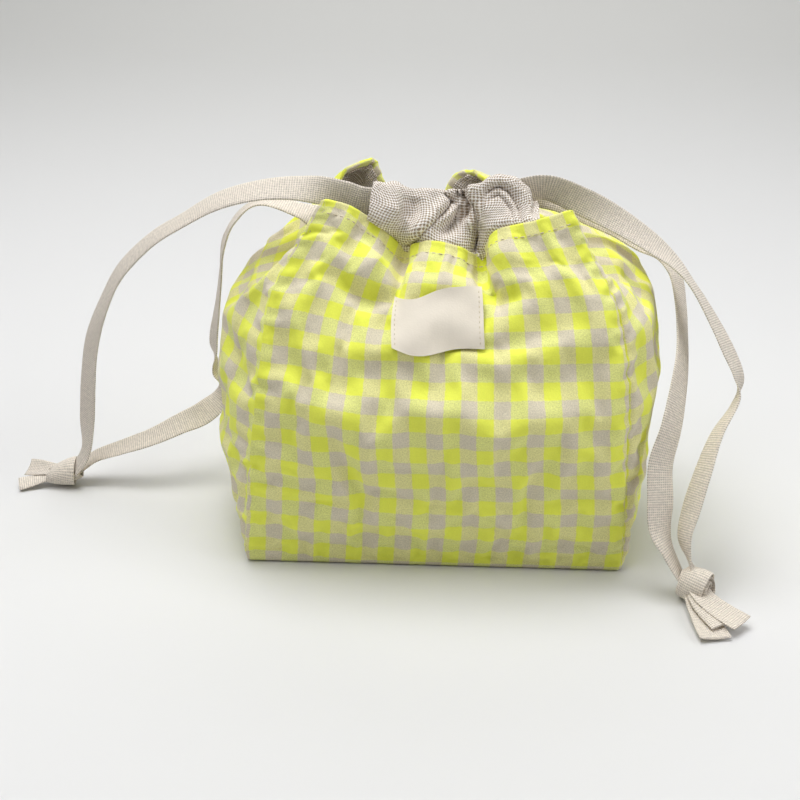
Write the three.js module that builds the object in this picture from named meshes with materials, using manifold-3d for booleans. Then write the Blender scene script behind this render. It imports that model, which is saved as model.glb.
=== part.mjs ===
// Drawstring project bag: a boxed, lined cloth bag standing on its base with its mouth drawn shut.
// Millimetres, +Z up, origin at the middle of the base, front towards -Y, +X to the right of the front.

import * as THREE from 'three';
import { mergeVertices } from 'three/addons/utils/BufferGeometryUtils.js';
import Module from 'manifold-3d';

// The boxed base, and the height of the front left corner of the drawn rim
const BASE_WIDTH = 224;
const BASE_DEPTH = 140;
const CORNER_HEIGHT = 213;

// Cloth layers, and the spaces between neighbouring pieces
const OUTER_CLOTH = 1.2;
const LINING_CLOTH = 1;
const LAYER_GAP = 0.3;
const SEAM_INSET = 0.22;
const RIM_GAP = 0.3;

// How far the filled walls swell out past their corner seams
const FRONT_SWELL = 14;
const BACK_SWELL = 12;
const LEFT_SWELL = 31;
const RIGHT_SWELL = 22;

// Drawstring tape
const TAPE_WIDTH = 16;
const TAPE_THICKNESS = 1;
const TAPE_APART = 1.4;
const TAPE_JOIN = 0.3;
const TAPE_AT_KNOT = 9;

// Casings: cloth round the tunnel, play of the two tapes inside it, and the step between their edges
const CASING_CLOTH = 1.6;
const SLOT_PLAY = 0.9;
const FRONT_STEP = 4;
const BACK_STEP = 8;
const CASING_PUFF = 5;

// Sewn label
const LABEL_THICKNESS = 1.2;

// Knots tied in the tape ends
const KNOT_LENGTH = 26;
const KNOT_BREADTH = 19;
const KNOT_HEIGHT = 17;
const TAIL_WIDTH = 14;

const HALF_WIDTH = BASE_WIDTH / 2;
const HALF_DEPTH = BASE_DEPTH / 2;
const CLOTH_STACK = OUTER_CLOTH + LAYER_GAP + LINING_CLOTH;

// Where the tunnels run: the middle of each tape pair
const FRONT_SLOT_Y = -0.229 * HALF_DEPTH;
const BACK_SLOT_Y = 0.186 * HALF_DEPTH;
const FRONT_SLOT_Z = 0.972 * CORNER_HEIGHT;
const BACK_SLOT_Z = 0.878 * CORNER_HEIGHT;
const TUNNEL_END = 0.161 * HALF_WIDTH;
const TAPE_OFFSET = (TAPE_APART + TAPE_THICKNESS) / 2;
const SLOT_HALF = TAPE_APART / 2 + TAPE_THICKNESS + SLOT_PLAY;
const FRONT_SLOT_RISE = TAPE_WIDTH / 2 + FRONT_STEP / 2 + SLOT_PLAY;
const BACK_SLOT_RISE = TAPE_WIDTH / 2 + BACK_STEP / 2 + SLOT_PLAY;

const UP = new THREE.Vector3(0, 0, 1);

const wasm = await Module();
wasm.setup();

// A point given as shares of half the base width, half the base depth and the corner height
function at(x, y, z) {
  return new THREE.Vector3(x * HALF_WIDTH, y * HALF_DEPTH, z * CORNER_HEIGHT);
}

function curveThrough(points) {
  return new THREE.CatmullRomCurve3(points, false, 'centripetal');
}

// A smooth value through a few [share of height, value] stops
function ramp(stops, v) {
  let k = 0;
  while (k < stops.length - 2 && v > stops[k + 1][0]) k += 1;
  const share = THREE.MathUtils.clamp((v - stops[k][0]) / (stops[k + 1][0] - stops[k][0]), 0, 1);
  const smooth = share * share * (3 - 2 * share);
  return THREE.MathUtils.lerp(stops[k][1], stops[k + 1][1], smooth);
}

// Corner seams from the base up to the four peaks of the drawn rim
const seamFrontLeft = curveThrough([
  at(-1, -1, 0), at(-0.965, -1.1, 0.21), at(-0.92, -1.11, 0.4), at(-0.875, -1.03, 0.58),
  at(-0.83, -0.81, 0.765), at(-0.715, -0.61, 0.89), at(-0.59, -0.457, 1),
]);
const seamFrontRight = curveThrough([
  at(1, -1, 0), at(1.01, -1.07, 0.165), at(0.99, -1.11, 0.35), at(0.975, -1.06, 0.555),
  at(0.9, -0.83, 0.775), at(0.785, -0.63, 0.873), at(0.66, -0.457, 0.98),
]);
const seamBackRight = curveThrough([
  at(1, 1, 0), at(1.01, 1.06, 0.19), at(1.02, 1.06, 0.4), at(1.035, 0.94, 0.61),
  at(0.98, 0.8, 0.765), at(0.82, 0.71, 0.83), at(0.48, 0.57, 0.91), at(0.16, 0.43, 1.005),
]);
const seamBackLeft = curveThrough([
  at(-1, 1, 0), at(-1, 1.06, 0.21), at(-0.98, 1.03, 0.42), at(-0.965, 0.92, 0.62),
  at(-0.9, 0.8, 0.74), at(-0.74, 0.7, 0.84), at(-0.53, 0.59, 0.94), at(-0.357, 0.457, 1.04),
]);

// The drawn rim: two pinches in front, a deep valley at each side, a sagging back
function rimBetween(left, right, points) {
  return curveThrough([left.getPoint(1), ...points, right.getPoint(1)]);
}
const rimFront = rimBetween(seamFrontLeft, seamFrontRight, [
  at(-0.445, -0.415, 0.977), at(-0.295, -0.343, 0.915), at(-0.188, -0.286, 0.859),
  at(-0.045, -0.4, 0.883), at(0.107, -0.371, 0.864), at(0.205, -0.286, 0.836),
  at(0.277, -0.386, 0.911), at(0.473, -0.429, 0.944),
]);
const rimRight = rimBetween(seamFrontRight, seamBackRight, [
  at(0.6, -0.2, 0.86), at(0.5, 0.05, 0.74), at(0.37, 0.24, 0.82),
]);
const rimBack = rimBetween(seamBackRight, seamBackLeft, [
  at(0.1, 0.44, 0.94), at(0.05, 0.4, 0.85), at(-0.05, 0.37, 0.825),
  at(-0.19, 0.37, 0.835), at(-0.28, 0.45, 0.92),
]);
const rimLeft = rimBetween(seamBackLeft, seamFrontLeft, [
  at(-0.52, 0.36, 0.97), at(-0.56, 0.08, 0.75), at(-0.575, -0.2, 0.86),
]);

// Rows up the cloth and columns across each panel; the label covers four columns and two rows in front
const ROWS = [0, 0.08, 0.17, 0.26, 0.35, 0.43, 0.52, 0.615, 0.69, 0.765, 0.845, 0.92, 1];
const FRONT_COLUMNS = [
  0, 0.065, 0.13, 0.19, 0.24, 0.285, 0.325, 0.362, 0.425, 0.487,
  0.55, 0.61, 0.66, 0.72, 0.79, 0.85, 0.9, 0.95, 1,
];
const BACK_COLUMNS = [
  0, 0.06, 0.12, 0.18, 0.25, 0.32, 0.39, 0.46, 0.54, 0.61, 0.68, 0.75, 0.82, 0.88, 0.94, 1,
];
const SIDE_COLUMNS = [0, 0.1, 0.2, 0.3, 0.4, 0.5, 0.6, 0.7, 0.8, 0.9, 1];
const LABEL_COLUMNS = [7, 11];
const LABEL_ROWS = [7, 9];
const FRONT_CASING_COLUMNS = [3, 15];
const BACK_CASING_COLUMNS = [4, 11];

const WALL_SWELL = [[0, 0], [0.2, 0.45], [0.44, 1], [0.6, 0.42], [0.76, 0.12], [1, 0]];
const GUSSET_SWELL = [
  [0, 0], [0.06, 0.4], [0.14, 0.68], [0.28, 0.92], [0.46, 1], [0.6, 0.9], [0.7, 0.64], [0.84, 0.16], [1, 0],
];
const WALL_FOLD = [[0, 0], [0.6, 0], [0.8, 0.25], [1, 1]];
const GUSSET_FOLD = [[0, 0], [0.66, 0], [0.85, 0.38], [1, 1]];

// The four walls in turn, each from its left seam to its right seam as seen from outside
const walls = [
  {
    left: seamFrontLeft, right: seamFrontRight, rim: rimFront, columns: FRONT_COLUMNS,
    outward: new THREE.Vector3(0, -FRONT_SWELL, 0), swell: WALL_SWELL, fold: WALL_FOLD,
  },
  {
    left: seamFrontRight, right: seamBackRight, rim: rimRight, columns: SIDE_COLUMNS,
    outward: new THREE.Vector3(RIGHT_SWELL, 0, 0), swell: GUSSET_SWELL, fold: GUSSET_FOLD,
  },
  {
    left: seamBackRight, right: seamBackLeft, rim: rimBack, columns: BACK_COLUMNS,
    outward: new THREE.Vector3(0, BACK_SWELL, 0), swell: WALL_SWELL, fold: WALL_FOLD,
  },
  {
    left: seamBackLeft, right: seamFrontLeft, rim: rimLeft, columns: SIDE_COLUMNS,
    outward: new THREE.Vector3(-LEFT_SWELL, 0, 0), swell: GUSSET_SWELL, fold: GUSSET_FOLD,
  },
];

// The outer face of a wall: a loft between its seams, swollen by the filling and folded towards the rim
function wallPoint(wall, s, v) {
  const point = wall.left.getPointAt(v).lerp(wall.right.getPointAt(v), s);
  const chord = wall.left.getPointAt(1).lerp(wall.right.getPointAt(1), s);
  const drawn = wall.rim.getPointAt(s).sub(chord);
  point.addScaledVector(drawn, ramp(wall.fold, v));
  point.addScaledVector(wall.outward, ramp(wall.swell, v) * (1 - (2 * s - 1) ** 2));
  return point;
}

// Directions at a point of a wall: across, up the cloth, and into the bag
function wallFrame(wall, s, v) {
  const step = 0.004;
  const low = (t) => Math.max(0, t - step);
  const high = (t) => Math.min(1, t + step);
  const across = wallPoint(wall, high(s), v).sub(wallPoint(wall, low(s), v)).normalize();
  const up = wallPoint(wall, s, high(v)).sub(wallPoint(wall, s, low(v))).normalize();
  const inward = up.clone().cross(across).normalize();
  return { across, up, inward };
}

for (const wall of walls) {
  wall.points = wall.columns.map((s) => ROWS.map((v) => wallPoint(wall, s, v)));
  wall.frames = wall.columns.map((s) => ROWS.map((v) => wallFrame(wall, s, v)));
}

// Offset that keeps a layer's depth from both faces that meet at a seam
function mitre(a, b) {
  return a.clone().add(b).divideScalar(Math.max(1 + a.dot(b), 0.4));
}

// A wall's vertex moved a depth into the bag, mitred where it meets its neighbours
function layerPoint(k, i, j, depth) {
  const wall = walls[k];
  const last = wall.columns.length - 1;
  const { inward } = wall.frames[i][j];
  let offset = inward;
  if (i === 0) {
    const before = walls[(k + 3) % 4];
    offset = mitre(inward, before.frames[before.columns.length - 1][j].inward);
  }
  if (i === last) {
    offset = mitre(inward, walls[(k + 1) % 4].frames[0][j].inward);
  }
  if (j === 0) {
    offset = i === 0 || i === last ? offset.clone().add(UP) : mitre(offset, UP);
  }
  return wall.points[i][j].clone().addScaledVector(offset, depth);
}

// The same vertex drawn back from the seams, so that neighbouring panels stay apart
function panelPoint(k, i, j, depth) {
  const wall = walls[k];
  const { across, up } = wall.frames[i][j];
  const point = layerPoint(k, i, j, depth);
  if (i === 0) point.addScaledVector(across, SEAM_INSET);
  if (i === wall.columns.length - 1) point.addScaledVector(across, -SEAM_INSET);
  if (j === 0) point.addScaledVector(up, SEAM_INSET);
  return point;
}

function geometryFrom(positions, indices) {
  const geometry = new THREE.BufferGeometry();
  geometry.setAttribute('position', new THREE.Float32BufferAttribute(positions, 3));
  geometry.setIndex(indices);
  geometry.computeVertexNormals();
  return geometry;
}

// A cloth sheet: two matching grids of points closed along their edges
function sheet(face, back) {
  const columns = face.length;
  const rows = face[0].length;
  const positions = [...face.flat(), ...back.flat()].flatMap((p) => [p.x, p.y, p.z]);
  const f = (i, j) => i * rows + j;
  const b = (i, j) => columns * rows + i * rows + j;
  const indices = [];
  const quad = (p, q, r, t) => indices.push(p, q, r, p, r, t);
  for (let i = 0; i < columns - 1; i += 1) {
    for (let j = 0; j < rows - 1; j += 1) {
      quad(f(i, j), f(i + 1, j), f(i + 1, j + 1), f(i, j + 1));
      quad(b(i, j), b(i, j + 1), b(i + 1, j + 1), b(i + 1, j));
    }
    quad(f(i + 1, 0), f(i, 0), b(i, 0), b(i + 1, 0));
    quad(f(i, rows - 1), f(i + 1, rows - 1), b(i + 1, rows - 1), b(i, rows - 1));
  }
  for (let j = 0; j < rows - 1; j += 1) {
    quad(f(0, j), f(0, j + 1), b(0, j + 1), b(0, j));
    quad(f(columns - 1, j + 1), f(columns - 1, j), b(columns - 1, j), b(columns - 1, j + 1));
  }
  return geometryFrom(positions, indices);
}

// A solid through closed rings of equal size, capped at both ends
function loft(rings) {
  const size = rings[0].length;
  const positions = rings.flat().flatMap((p) => [p.x, p.y, p.z]);
  const indices = [];
  for (let r = 0; r < rings.length - 1; r += 1) {
    for (let k = 0; k < size; k += 1) {
      const a = r * size + k;
      const b = r * size + ((k + 1) % size);
      indices.push(a, b, b + size, a, b + size, a + size);
    }
  }
  const end = (rings.length - 1) * size;
  for (let k = 1; k < size - 1; k += 1) {
    indices.push(0, k + 1, k);
    indices.push(end, end + k, end + k + 1);
  }
  return geometryFrom(positions, indices);
}

function solidOf(geometry) {
  const bare = geometry.clone();
  bare.deleteAttribute('normal');
  bare.deleteAttribute('uv');
  const merged = mergeVertices(bare, 1e-4);
  return new wasm.Manifold(new wasm.Mesh({
    numProp: 3,
    vertProperties: new Float32Array(merged.attributes.position.array),
    triVerts: new Uint32Array(merged.index.array),
  }));
}

function geometryOf(solid) {
  const mesh = solid.getMesh();
  return geometryFrom(Array.from(mesh.vertProperties), Array.from(mesh.triVerts));
}

function panel(k, depth, thickness) {
  const { columns } = walls[k];
  const face = columns.map((s, i) => ROWS.map((v, j) => panelPoint(k, i, j, depth)));
  const back = columns.map((s, i) => ROWS.map((v, j) => panelPoint(k, i, j, depth + thickness)));
  return sheet(face, back);
}

function basePanel(depth, thickness) {
  const ring = (d) => {
    const x = HALF_WIDTH - d - SEAM_INSET;
    const y = HALF_DEPTH - d - SEAM_INSET;
    return [[-x, -y], [x, -y], [x, y], [-x, y]].map(([px, py]) => new THREE.Vector3(px, py, d));
  };
  return loft([ring(depth), ring(depth + thickness)]);
}

function labelGeometry() {
  const [firstColumn, lastColumn] = LABEL_COLUMNS;
  const [firstRow, lastRow] = LABEL_ROWS;
  const grid = (depth) => {
    const rows = [];
    for (let i = firstColumn; i <= lastColumn; i += 1) {
      const row = [];
      for (let j = firstRow; j <= lastRow; j += 1) row.push(layerPoint(0, i, j, depth));
      rows.push(row);
    }
    return rows;
  };
  return sheet(grid(-LAYER_GAP - LABEL_THICKNESS), grid(-LAYER_GAP));
}

// A casing: a scrunched cloth tunnel standing on the rim, its cross-section taken at the wall's own columns
function casingGeometry(k, [first, last], slotY, slotZ, rise, puffAt) {
  const wall = walls[k];
  const top = ROWS.length - 1;
  const side = Math.sign(slotY);
  const outerY = slotY + side * (SLOT_HALF + CASING_CLOTH);
  const innerY = slotY - side * (SLOT_HALF + CASING_CLOTH);
  const topZ = slotZ + rise + CASING_CLOTH;
  const lowZ = slotZ - rise - CASING_CLOTH;
  const rings = [];
  for (let i = first; i <= last; i += 1) {
    const { up } = wall.frames[i][top];
    const outerEdge = layerPoint(k, i, top, 0).addScaledVector(up, RIM_GAP);
    const innerEdge = layerPoint(k, i, top, CLOTH_STACK).addScaledVector(up, RIM_GAP);
    const { x } = wall.points[i][top];
    const crest = topZ + 0.8 * Math.cos(i * 2.1);
    const puff = puffAt(x);
    const shoulder = Math.max(outerEdge.z + 3, lowZ + 4);
    rings.push([
      outerEdge,
      new THREE.Vector3(x, outerY + side * puff, shoulder),
      new THREE.Vector3(x, outerY + side * puff * 0.6, topZ - 1.6),
      new THREE.Vector3(x, slotY, crest + 1),
      new THREE.Vector3(x, innerY, topZ - 1.6),
      new THREE.Vector3(x, innerY, lowZ),
      innerEdge,
    ]);
  }
  return loft(rings.map((ring) => ring.toReversed()));
}

function block(x0, x1, y0, y1, z0, z1) {
  const box = new THREE.BoxGeometry(x1 - x0, y1 - y0, z1 - z0);
  box.translate((x0 + x1) / 2, (y0 + y1) / 2, (z0 + z1) / 2);
  return solidOf(box);
}

const REACH = BASE_WIDTH;

function frontCasing() {
  const puffAt = (x) => {
    const past = THREE.MathUtils.clamp((x - TUNNEL_END) / (0.446 * HALF_WIDTH - TUNNEL_END), 0, 1);
    return 0.8 + CASING_PUFF * Math.sin(past * Math.PI);
  };
  const body = casingGeometry(
    0, FRONT_CASING_COLUMNS, FRONT_SLOT_Y, FRONT_SLOT_Z, FRONT_SLOT_RISE, puffAt,
  );
  const slot = block(
    -REACH, REACH, FRONT_SLOT_Y - SLOT_HALF, FRONT_SLOT_Y + SLOT_HALF,
    FRONT_SLOT_Z - FRONT_SLOT_RISE, FRONT_SLOT_Z + FRONT_SLOT_RISE,
  );
  const openEnd = block(
    TUNNEL_END, REACH, FRONT_SLOT_Y - SLOT_HALF, HALF_DEPTH,
    FRONT_SLOT_Z - 2 * FRONT_SLOT_RISE, 2 * CORNER_HEIGHT,
  );
  return geometryOf(solidOf(body).subtract(slot).subtract(openEnd));
}

function backCasing() {
  const body = casingGeometry(
    2, BACK_CASING_COLUMNS, BACK_SLOT_Y, BACK_SLOT_Z, BACK_SLOT_RISE, () => 0.8,
  );
  const slot = block(
    -REACH, REACH, BACK_SLOT_Y - SLOT_HALF, BACK_SLOT_Y + SLOT_HALF,
    BACK_SLOT_Z - BACK_SLOT_RISE, BACK_SLOT_Z + BACK_SLOT_RISE,
  );
  return geometryOf(solidOf(body).subtract(slot));
}

// A flat tape along stops of [point, direction of its width, width], with a number of steps per stop
function tape(stops, steps) {
  const path = curveThrough(stops.map((stop) => stop[0]));
  const turn = curveThrough(stops.map((stop) => stop[1].clone().normalize()));
  const count = (stops.length - 1) * steps;
  const rings = [];
  for (let n = 0; n <= count; n += 1) {
    const u = n / count;
    const k = Math.min(Math.floor(u * (stops.length - 1)), stops.length - 2);
    const width = THREE.MathUtils.lerp(stops[k][2], stops[k + 1][2], u * (stops.length - 1) - k);
    const centre = path.getPoint(u);
    const along = path.getTangent(u);
    const wide = turn.getPoint(u);
    wide.addScaledVector(along, -wide.dot(along)).normalize();
    const thick = along.clone().cross(wide);
    const corner = (a, b) => centre.clone()
      .addScaledVector(wide, a * width / 2)
      .addScaledVector(thick, b * TAPE_THICKNESS / 2);
    rings.push([corner(1, 1), corner(-1, 1), corner(-1, -1), corner(1, -1)]);
  }
  return loft(rings);
}

// Tape levels and lines in the two casings; the left string runs outside the right one
const leftFront = { y: FRONT_SLOT_Y - TAPE_OFFSET, z: FRONT_SLOT_Z + FRONT_STEP / 2 };
const rightFront = { y: FRONT_SLOT_Y + TAPE_OFFSET, z: FRONT_SLOT_Z - FRONT_STEP / 2 };
const leftBack = { y: BACK_SLOT_Y + TAPE_OFFSET, z: BACK_SLOT_Z - BACK_STEP / 2 };
const rightBack = { y: BACK_SLOT_Y - TAPE_OFFSET, z: BACK_SLOT_Z + BACK_STEP / 2 };
const LEFT_EXIT = walls[0].points[FRONT_CASING_COLUMNS[0]][ROWS.length - 1].x;
const RIGHT_EXIT = TUNNEL_END;

function onLine(line, x) {
  return [new THREE.Vector3(x, line.y, line.z), UP, TAPE_WIDTH];
}

function stop(x, y, z, wx, wy, wz, width = TAPE_WIDTH) {
  return [at(x, y, z), new THREE.Vector3(wx, wy, wz), width];
}

// The stretch inside the casings and the turn that joins front to back on the far side
const leftLoop = tape([
  onLine(leftFront, LEFT_EXIT), onLine(leftFront, 0), onLine(leftFront, RIGHT_EXIT),
  onLine(leftFront, 0.235 * HALF_WIDTH),
  stop(0.33, -0.235, 0.955, 0, 0, 1), stop(0.44, -0.185, 0.905, 0, 0, 1), stop(0.52, -0.09, 0.862, 0, 0, 1),
  stop(0.545, -0.01, 0.848, 0, 0, 1), stop(0.52, 0.075, 0.843, 0, 0, 1), stop(0.43, 0.16, 0.847, 0, 0, 1),
  stop(0.32, 0.2, 0.857, 0, 0, 1),
  onLine(leftBack, 0.235 * HALF_WIDTH), onLine(leftBack, RIGHT_EXIT), onLine(leftBack, 0),
  onLine(leftBack, LEFT_EXIT),
], 2);
const rightLoop = tape([
  onLine(rightFront, RIGHT_EXIT), onLine(rightFront, 0), onLine(rightFront, LEFT_EXIT),
  onLine(rightFront, LEFT_EXIT - 5),
  stop(-0.44, -0.17, 0.945, 0, 0, 1), stop(-0.465, -0.1, 0.93, 0, 0, 1), stop(-0.475, -0.02, 0.921, 0, 0, 1),
  stop(-0.465, 0.06, 0.912, 0, 0, 1), stop(-0.44, 0.13, 0.903, 0, 0, 1),
  onLine(rightBack, LEFT_EXIT - 5), onLine(rightBack, LEFT_EXIT), onLine(rightBack, 0),
  onLine(rightBack, RIGHT_EXIT),
], 2);

// Knots lie on the table; each has two tails of tape
const LEFT_KNOT = new THREE.Vector3(-2.2 * HALF_WIDTH, 0.27 * HALF_DEPTH, KNOT_HEIGHT / 2);
const RIGHT_KNOT = new THREE.Vector3(1.33 * HALF_WIDTH, -1.4 * HALF_DEPTH, KNOT_HEIGHT / 2);

function knotLump(centre, heading, extra) {
  const lump = new THREE.IcosahedronGeometry(0.5, 2);
  lump.scale(KNOT_LENGTH + extra, KNOT_BREADTH + extra, KNOT_HEIGHT + extra);
  lump.rotateZ(heading);
  lump.translate(centre.x, centre.y, centre.z);
  return solidOf(lump);
}

function knotGeometry(centre, heading, tails) {
  let solid = knotLump(centre, heading, 0);
  for (const [dx, dy, tilt] of tails) {
    const along = new THREE.Vector3(dx, dy, 0).normalize();
    const wide = new THREE.Vector3(-along.y, along.x, tilt);
    const low = (d, z) => new THREE.Vector3(centre.x + dx * d, centre.y + dy * d, z);
    solid = solid.add(solidOf(tape([
      [low(0.2, KNOT_HEIGHT * 0.45), wide, TAPE_AT_KNOT],
      [low(0.55, KNOT_HEIGHT * 0.4), wide, TAIL_WIDTH * 0.8],
      [low(1, KNOT_HEIGHT * 0.36), wide, TAIL_WIDTH],
    ], 3)));
  }
  return geometryOf(solid);
}

// A leg runs into its knot and stops a little short of the knot's face
function leg(stops, centre, heading) {
  const knot = knotLump(centre, heading, 2 * TAPE_JOIN);
  return geometryOf(solidOf(tape(stops, 2)).subtract(knot));
}

// A point inside a knot, as shares of its size along, across and up
function inKnot(centre, heading, a, b, c) {
  const local = new THREE.Vector3(a * KNOT_LENGTH, b * KNOT_BREADTH, c * KNOT_HEIGHT);
  return local.applyAxisAngle(UP, heading).add(centre);
}

const LEFT_HEADING = 0.15;
const RIGHT_HEADING = -1;

// The free legs, from the casing mouths round to the knots
const leftFrontLeg = leg([
  onLine(leftFront, LEFT_EXIT - TAPE_JOIN), onLine(leftFront, LEFT_EXIT - 7),
  stop(-0.49, -0.24, 0.995, 0, 0, 1), stop(-0.71, -0.23, 1.009, 0, -0.1, 1),
  stop(-0.91, -0.21, 1.001, 0, -0.3, 0.95), stop(-1.13, -0.16, 0.966, -0.15, -0.5, 0.85),
  stop(-1.35, -0.09, 0.898, -0.3, -0.65, 0.7), stop(-1.53, 0, 0.833, -0.35, -0.7, 0.6),
  stop(-1.72, 0.09, 0.734, -0.45, -0.7, 0.5), stop(-1.83, 0.14, 0.635, -0.5, -0.75, 0.3),
  stop(-1.94, 0.19, 0.503, -0.55, -0.8, 0.15), stop(-1.99, 0.21, 0.37, -0.58, -0.8, 0),
  stop(-2.03, 0.24, 0.232, -0.55, -0.8, 0), stop(-2.06, 0.23, 0.124, -0.5, -0.8, 0, 11),
  [inKnot(LEFT_KNOT, LEFT_HEADING, 0.25, -0.2, 0.25), new THREE.Vector3(-0.3, -0.9, 0), TAPE_AT_KNOT],
], LEFT_KNOT, LEFT_HEADING);
const leftBackLeg = leg([
  onLine(leftBack, LEFT_EXIT - TAPE_JOIN), onLine(leftBack, LEFT_EXIT - 7),
  stop(-0.5, 0.19, 0.864, 0, 0, 1), stop(-0.58, 0.13, 0.877, 0, 0, 1), stop(-0.73, 0.13, 0.91, 0, 0, 1),
  stop(-0.93, 0.16, 0.933, 0, 0.2, 1), stop(-1.08, 0.29, 0.881, -0.3, 0.7, 0.6),
  stop(-1.2, 0.49, 0.769, -0.2, 0.9, 0.3), stop(-1.24, 0.6, 0.664, -0.1, 1, 0.1),
  stop(-1.28, 0.66, 0.545, -0.1, 1, 0), stop(-1.32, 0.69, 0.426, 0, 1, 0.2),
  stop(-1.31, 0.69, 0.345, 0.5, 0.8, 0.4), stop(-1.275, 0.655, 0.272, 0.7, 0.5, 0.7),
  stop(-1.38, 0.54, 0.22, 0.1, -0.1, 1), stop(-1.52, 0.46, 0.19, 0.1, -0.2, 1),
  stop(-1.69, 0.4, 0.151, 0.1, -0.2, 1), stop(-1.87, 0.38, 0.117, 0.1, -0.2, 1, 15),
  stop(-2.03, 0.37, 0.085, 0.1, -0.2, 1, 12),
  [inKnot(LEFT_KNOT, LEFT_HEADING, 0.25, 0.25, -0.05), new THREE.Vector3(0.1, -0.3, 1), TAPE_AT_KNOT],
], LEFT_KNOT, LEFT_HEADING);
const rightFrontLeg = leg([
  onLine(rightFront, RIGHT_EXIT + TAPE_JOIN), onLine(rightFront, RIGHT_EXIT + 6),
  stop(0.28, -0.175, 0.976, 0, 0, 1), stop(0.38, -0.12, 0.998, 0, 0, 1),
  stop(0.53, -0.09, 1.008, 0, 0, 1), stop(0.71, -0.07, 0.972, 0, 0, 1),
  stop(0.92, -0.07, 0.914, 0, 0, 1), stop(1.105, -0.1, 0.852, 0, -0.1, 1),
  stop(1.21, -0.14, 0.81, 0.2, -0.5, 0.8), stop(1.3, -0.23, 0.758, 0.3, -0.8, 0.1),
  stop(1.4, -0.36, 0.681, 0.6, -0.6, -0.5), stop(1.485, -0.49, 0.606, 0.6, -0.3, -0.7),
  stop(1.54, -0.6, 0.54, 0.4, 0.2, -0.9), stop(1.525, -0.7, 0.488, 0.1, 0.6, -0.8),
  stop(1.43, -0.86, 0.417, -0.5, 0.6, -0.5), stop(1.36, -1.03, 0.332, -0.8, 0.4, -0.2),
  stop(1.3, -1.17, 0.236, -0.9, 0.3, 0), stop(1.27, -1.27, 0.163, -1, 0.3, 0, 13),
  [inKnot(RIGHT_KNOT, RIGHT_HEADING, -0.1, 0.1, 0.3), new THREE.Vector3(-1, 0.1, 0), TAPE_AT_KNOT],
], RIGHT_KNOT, RIGHT_HEADING);
const rightBackLeg = leg([
  onLine(rightBack, RIGHT_EXIT + TAPE_JOIN), onLine(rightBack, RIGHT_EXIT + 6),
  stop(0.3, 0.14, 0.92, 0, 0, 1), stop(0.39, 0.12, 0.952, 0, 0, 1),
  stop(0.5, 0.12, 0.968, 0, 0, 1), stop(0.62, 0.15, 0.955, 0, 0, 1),
  stop(0.79, 0.26, 0.905, 0, 0, 1), stop(0.94, 0.31, 0.865, 0, 0, 1),
  stop(1.07, 0.29, 0.82, 0.2, -0.2, 0.9), stop(1.18, 0.23, 0.79, 0.4, -0.4, 0.7),
  stop(1.25, 0.14, 0.745, 0.5, -0.6, 0.4), stop(1.285, -0.01, 0.69, 0.6, -0.7, 0),
  stop(1.295, -0.22, 0.625, 0.5, -0.7, -0.4), stop(1.275, -0.45, 0.566, 0.5, -0.5, -0.6),
  stop(1.235, -0.68, 0.497, 0.6, -0.4, -0.6), stop(1.21, -0.89, 0.425, 0.7, -0.3, -0.5),
  stop(1.17, -1.04, 0.346, 0.85, -0.2, -0.3), stop(1.145, -1.16, 0.261, 1, -0.1, -0.1),
  stop(1.15, -1.24, 0.186, 1, -0.1, 0), stop(1.19, -1.3, 0.136, 0.9, -0.1, 0.4, 13),
  [inKnot(RIGHT_KNOT, RIGHT_HEADING, -0.2, -0.2, 0.15), new THREE.Vector3(0.5, 0, 0.9), TAPE_AT_KNOT],
], RIGHT_KNOT, RIGHT_HEADING);

const GINGHAM = { color: 0xcdd84f, roughness: 0.9, metalness: 0 };
const LINEN = { color: 0xb9b1a4, roughness: 0.92, metalness: 0 };
const TAPE = { color: 0xcfc8bb, roughness: 0.85, metalness: 0 };
const LEATHERETTE = { color: 0xede6d9, roughness: 0.7, metalness: 0 };

const bag = new THREE.Group();
const leftString = new THREE.Group();
const rightString = new THREE.Group();

function addPiece(group, name, geometry, look) {
  const mesh = new THREE.Mesh(geometry, new THREE.MeshStandardMaterial(look));
  mesh.name = name;
  group.add(mesh);
}

const wallNames = ['front_panel', 'right_gusset', 'back_panel', 'left_gusset'];
wallNames.forEach((name, k) => {
  addPiece(bag, `outer_${name}`, panel(k, 0, OUTER_CLOTH), GINGHAM);
  addPiece(bag, `lining_${name}`, panel(k, OUTER_CLOTH + LAYER_GAP, LINING_CLOTH), LINEN);
});
addPiece(bag, 'outer_base_panel', basePanel(0, OUTER_CLOTH), GINGHAM);
addPiece(bag, 'lining_base_panel', basePanel(OUTER_CLOTH + LAYER_GAP, LINING_CLOTH), LINEN);
addPiece(bag, 'front_casing', frontCasing(), LINEN);
addPiece(bag, 'back_casing', backCasing(), LINEN);
addPiece(bag, 'label', labelGeometry(), LEATHERETTE);

addPiece(leftString, 'left_drawstring_loop', leftLoop, TAPE);
addPiece(leftString, 'left_drawstring_front_leg', leftFrontLeg, TAPE);
addPiece(leftString, 'left_drawstring_back_leg', leftBackLeg, TAPE);
addPiece(leftString, 'left_drawstring_knot', knotGeometry(LEFT_KNOT, LEFT_HEADING, [
  [-29, -8, 0.3], [-28, 14, -0.3],
]), TAPE);

addPiece(rightString, 'right_drawstring_loop', rightLoop, TAPE);
addPiece(rightString, 'right_drawstring_front_leg', rightFrontLeg, TAPE);
addPiece(rightString, 'right_drawstring_back_leg', rightBackLeg, TAPE);
addPiece(rightString, 'right_drawstring_knot', knotGeometry(RIGHT_KNOT, RIGHT_HEADING, [
  [22, -29, 0.3], [2, -42, -0.2],
]), TAPE);

const projectBag = new THREE.Group();
projectBag.add(bag, leftString, rightString);

export default projectBag;
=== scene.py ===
"""Drawstring project bag: checked cotton outside, dotted linen inside, drawn shut by two knotted tapes."""

import math
from collections import namedtuple

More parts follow.
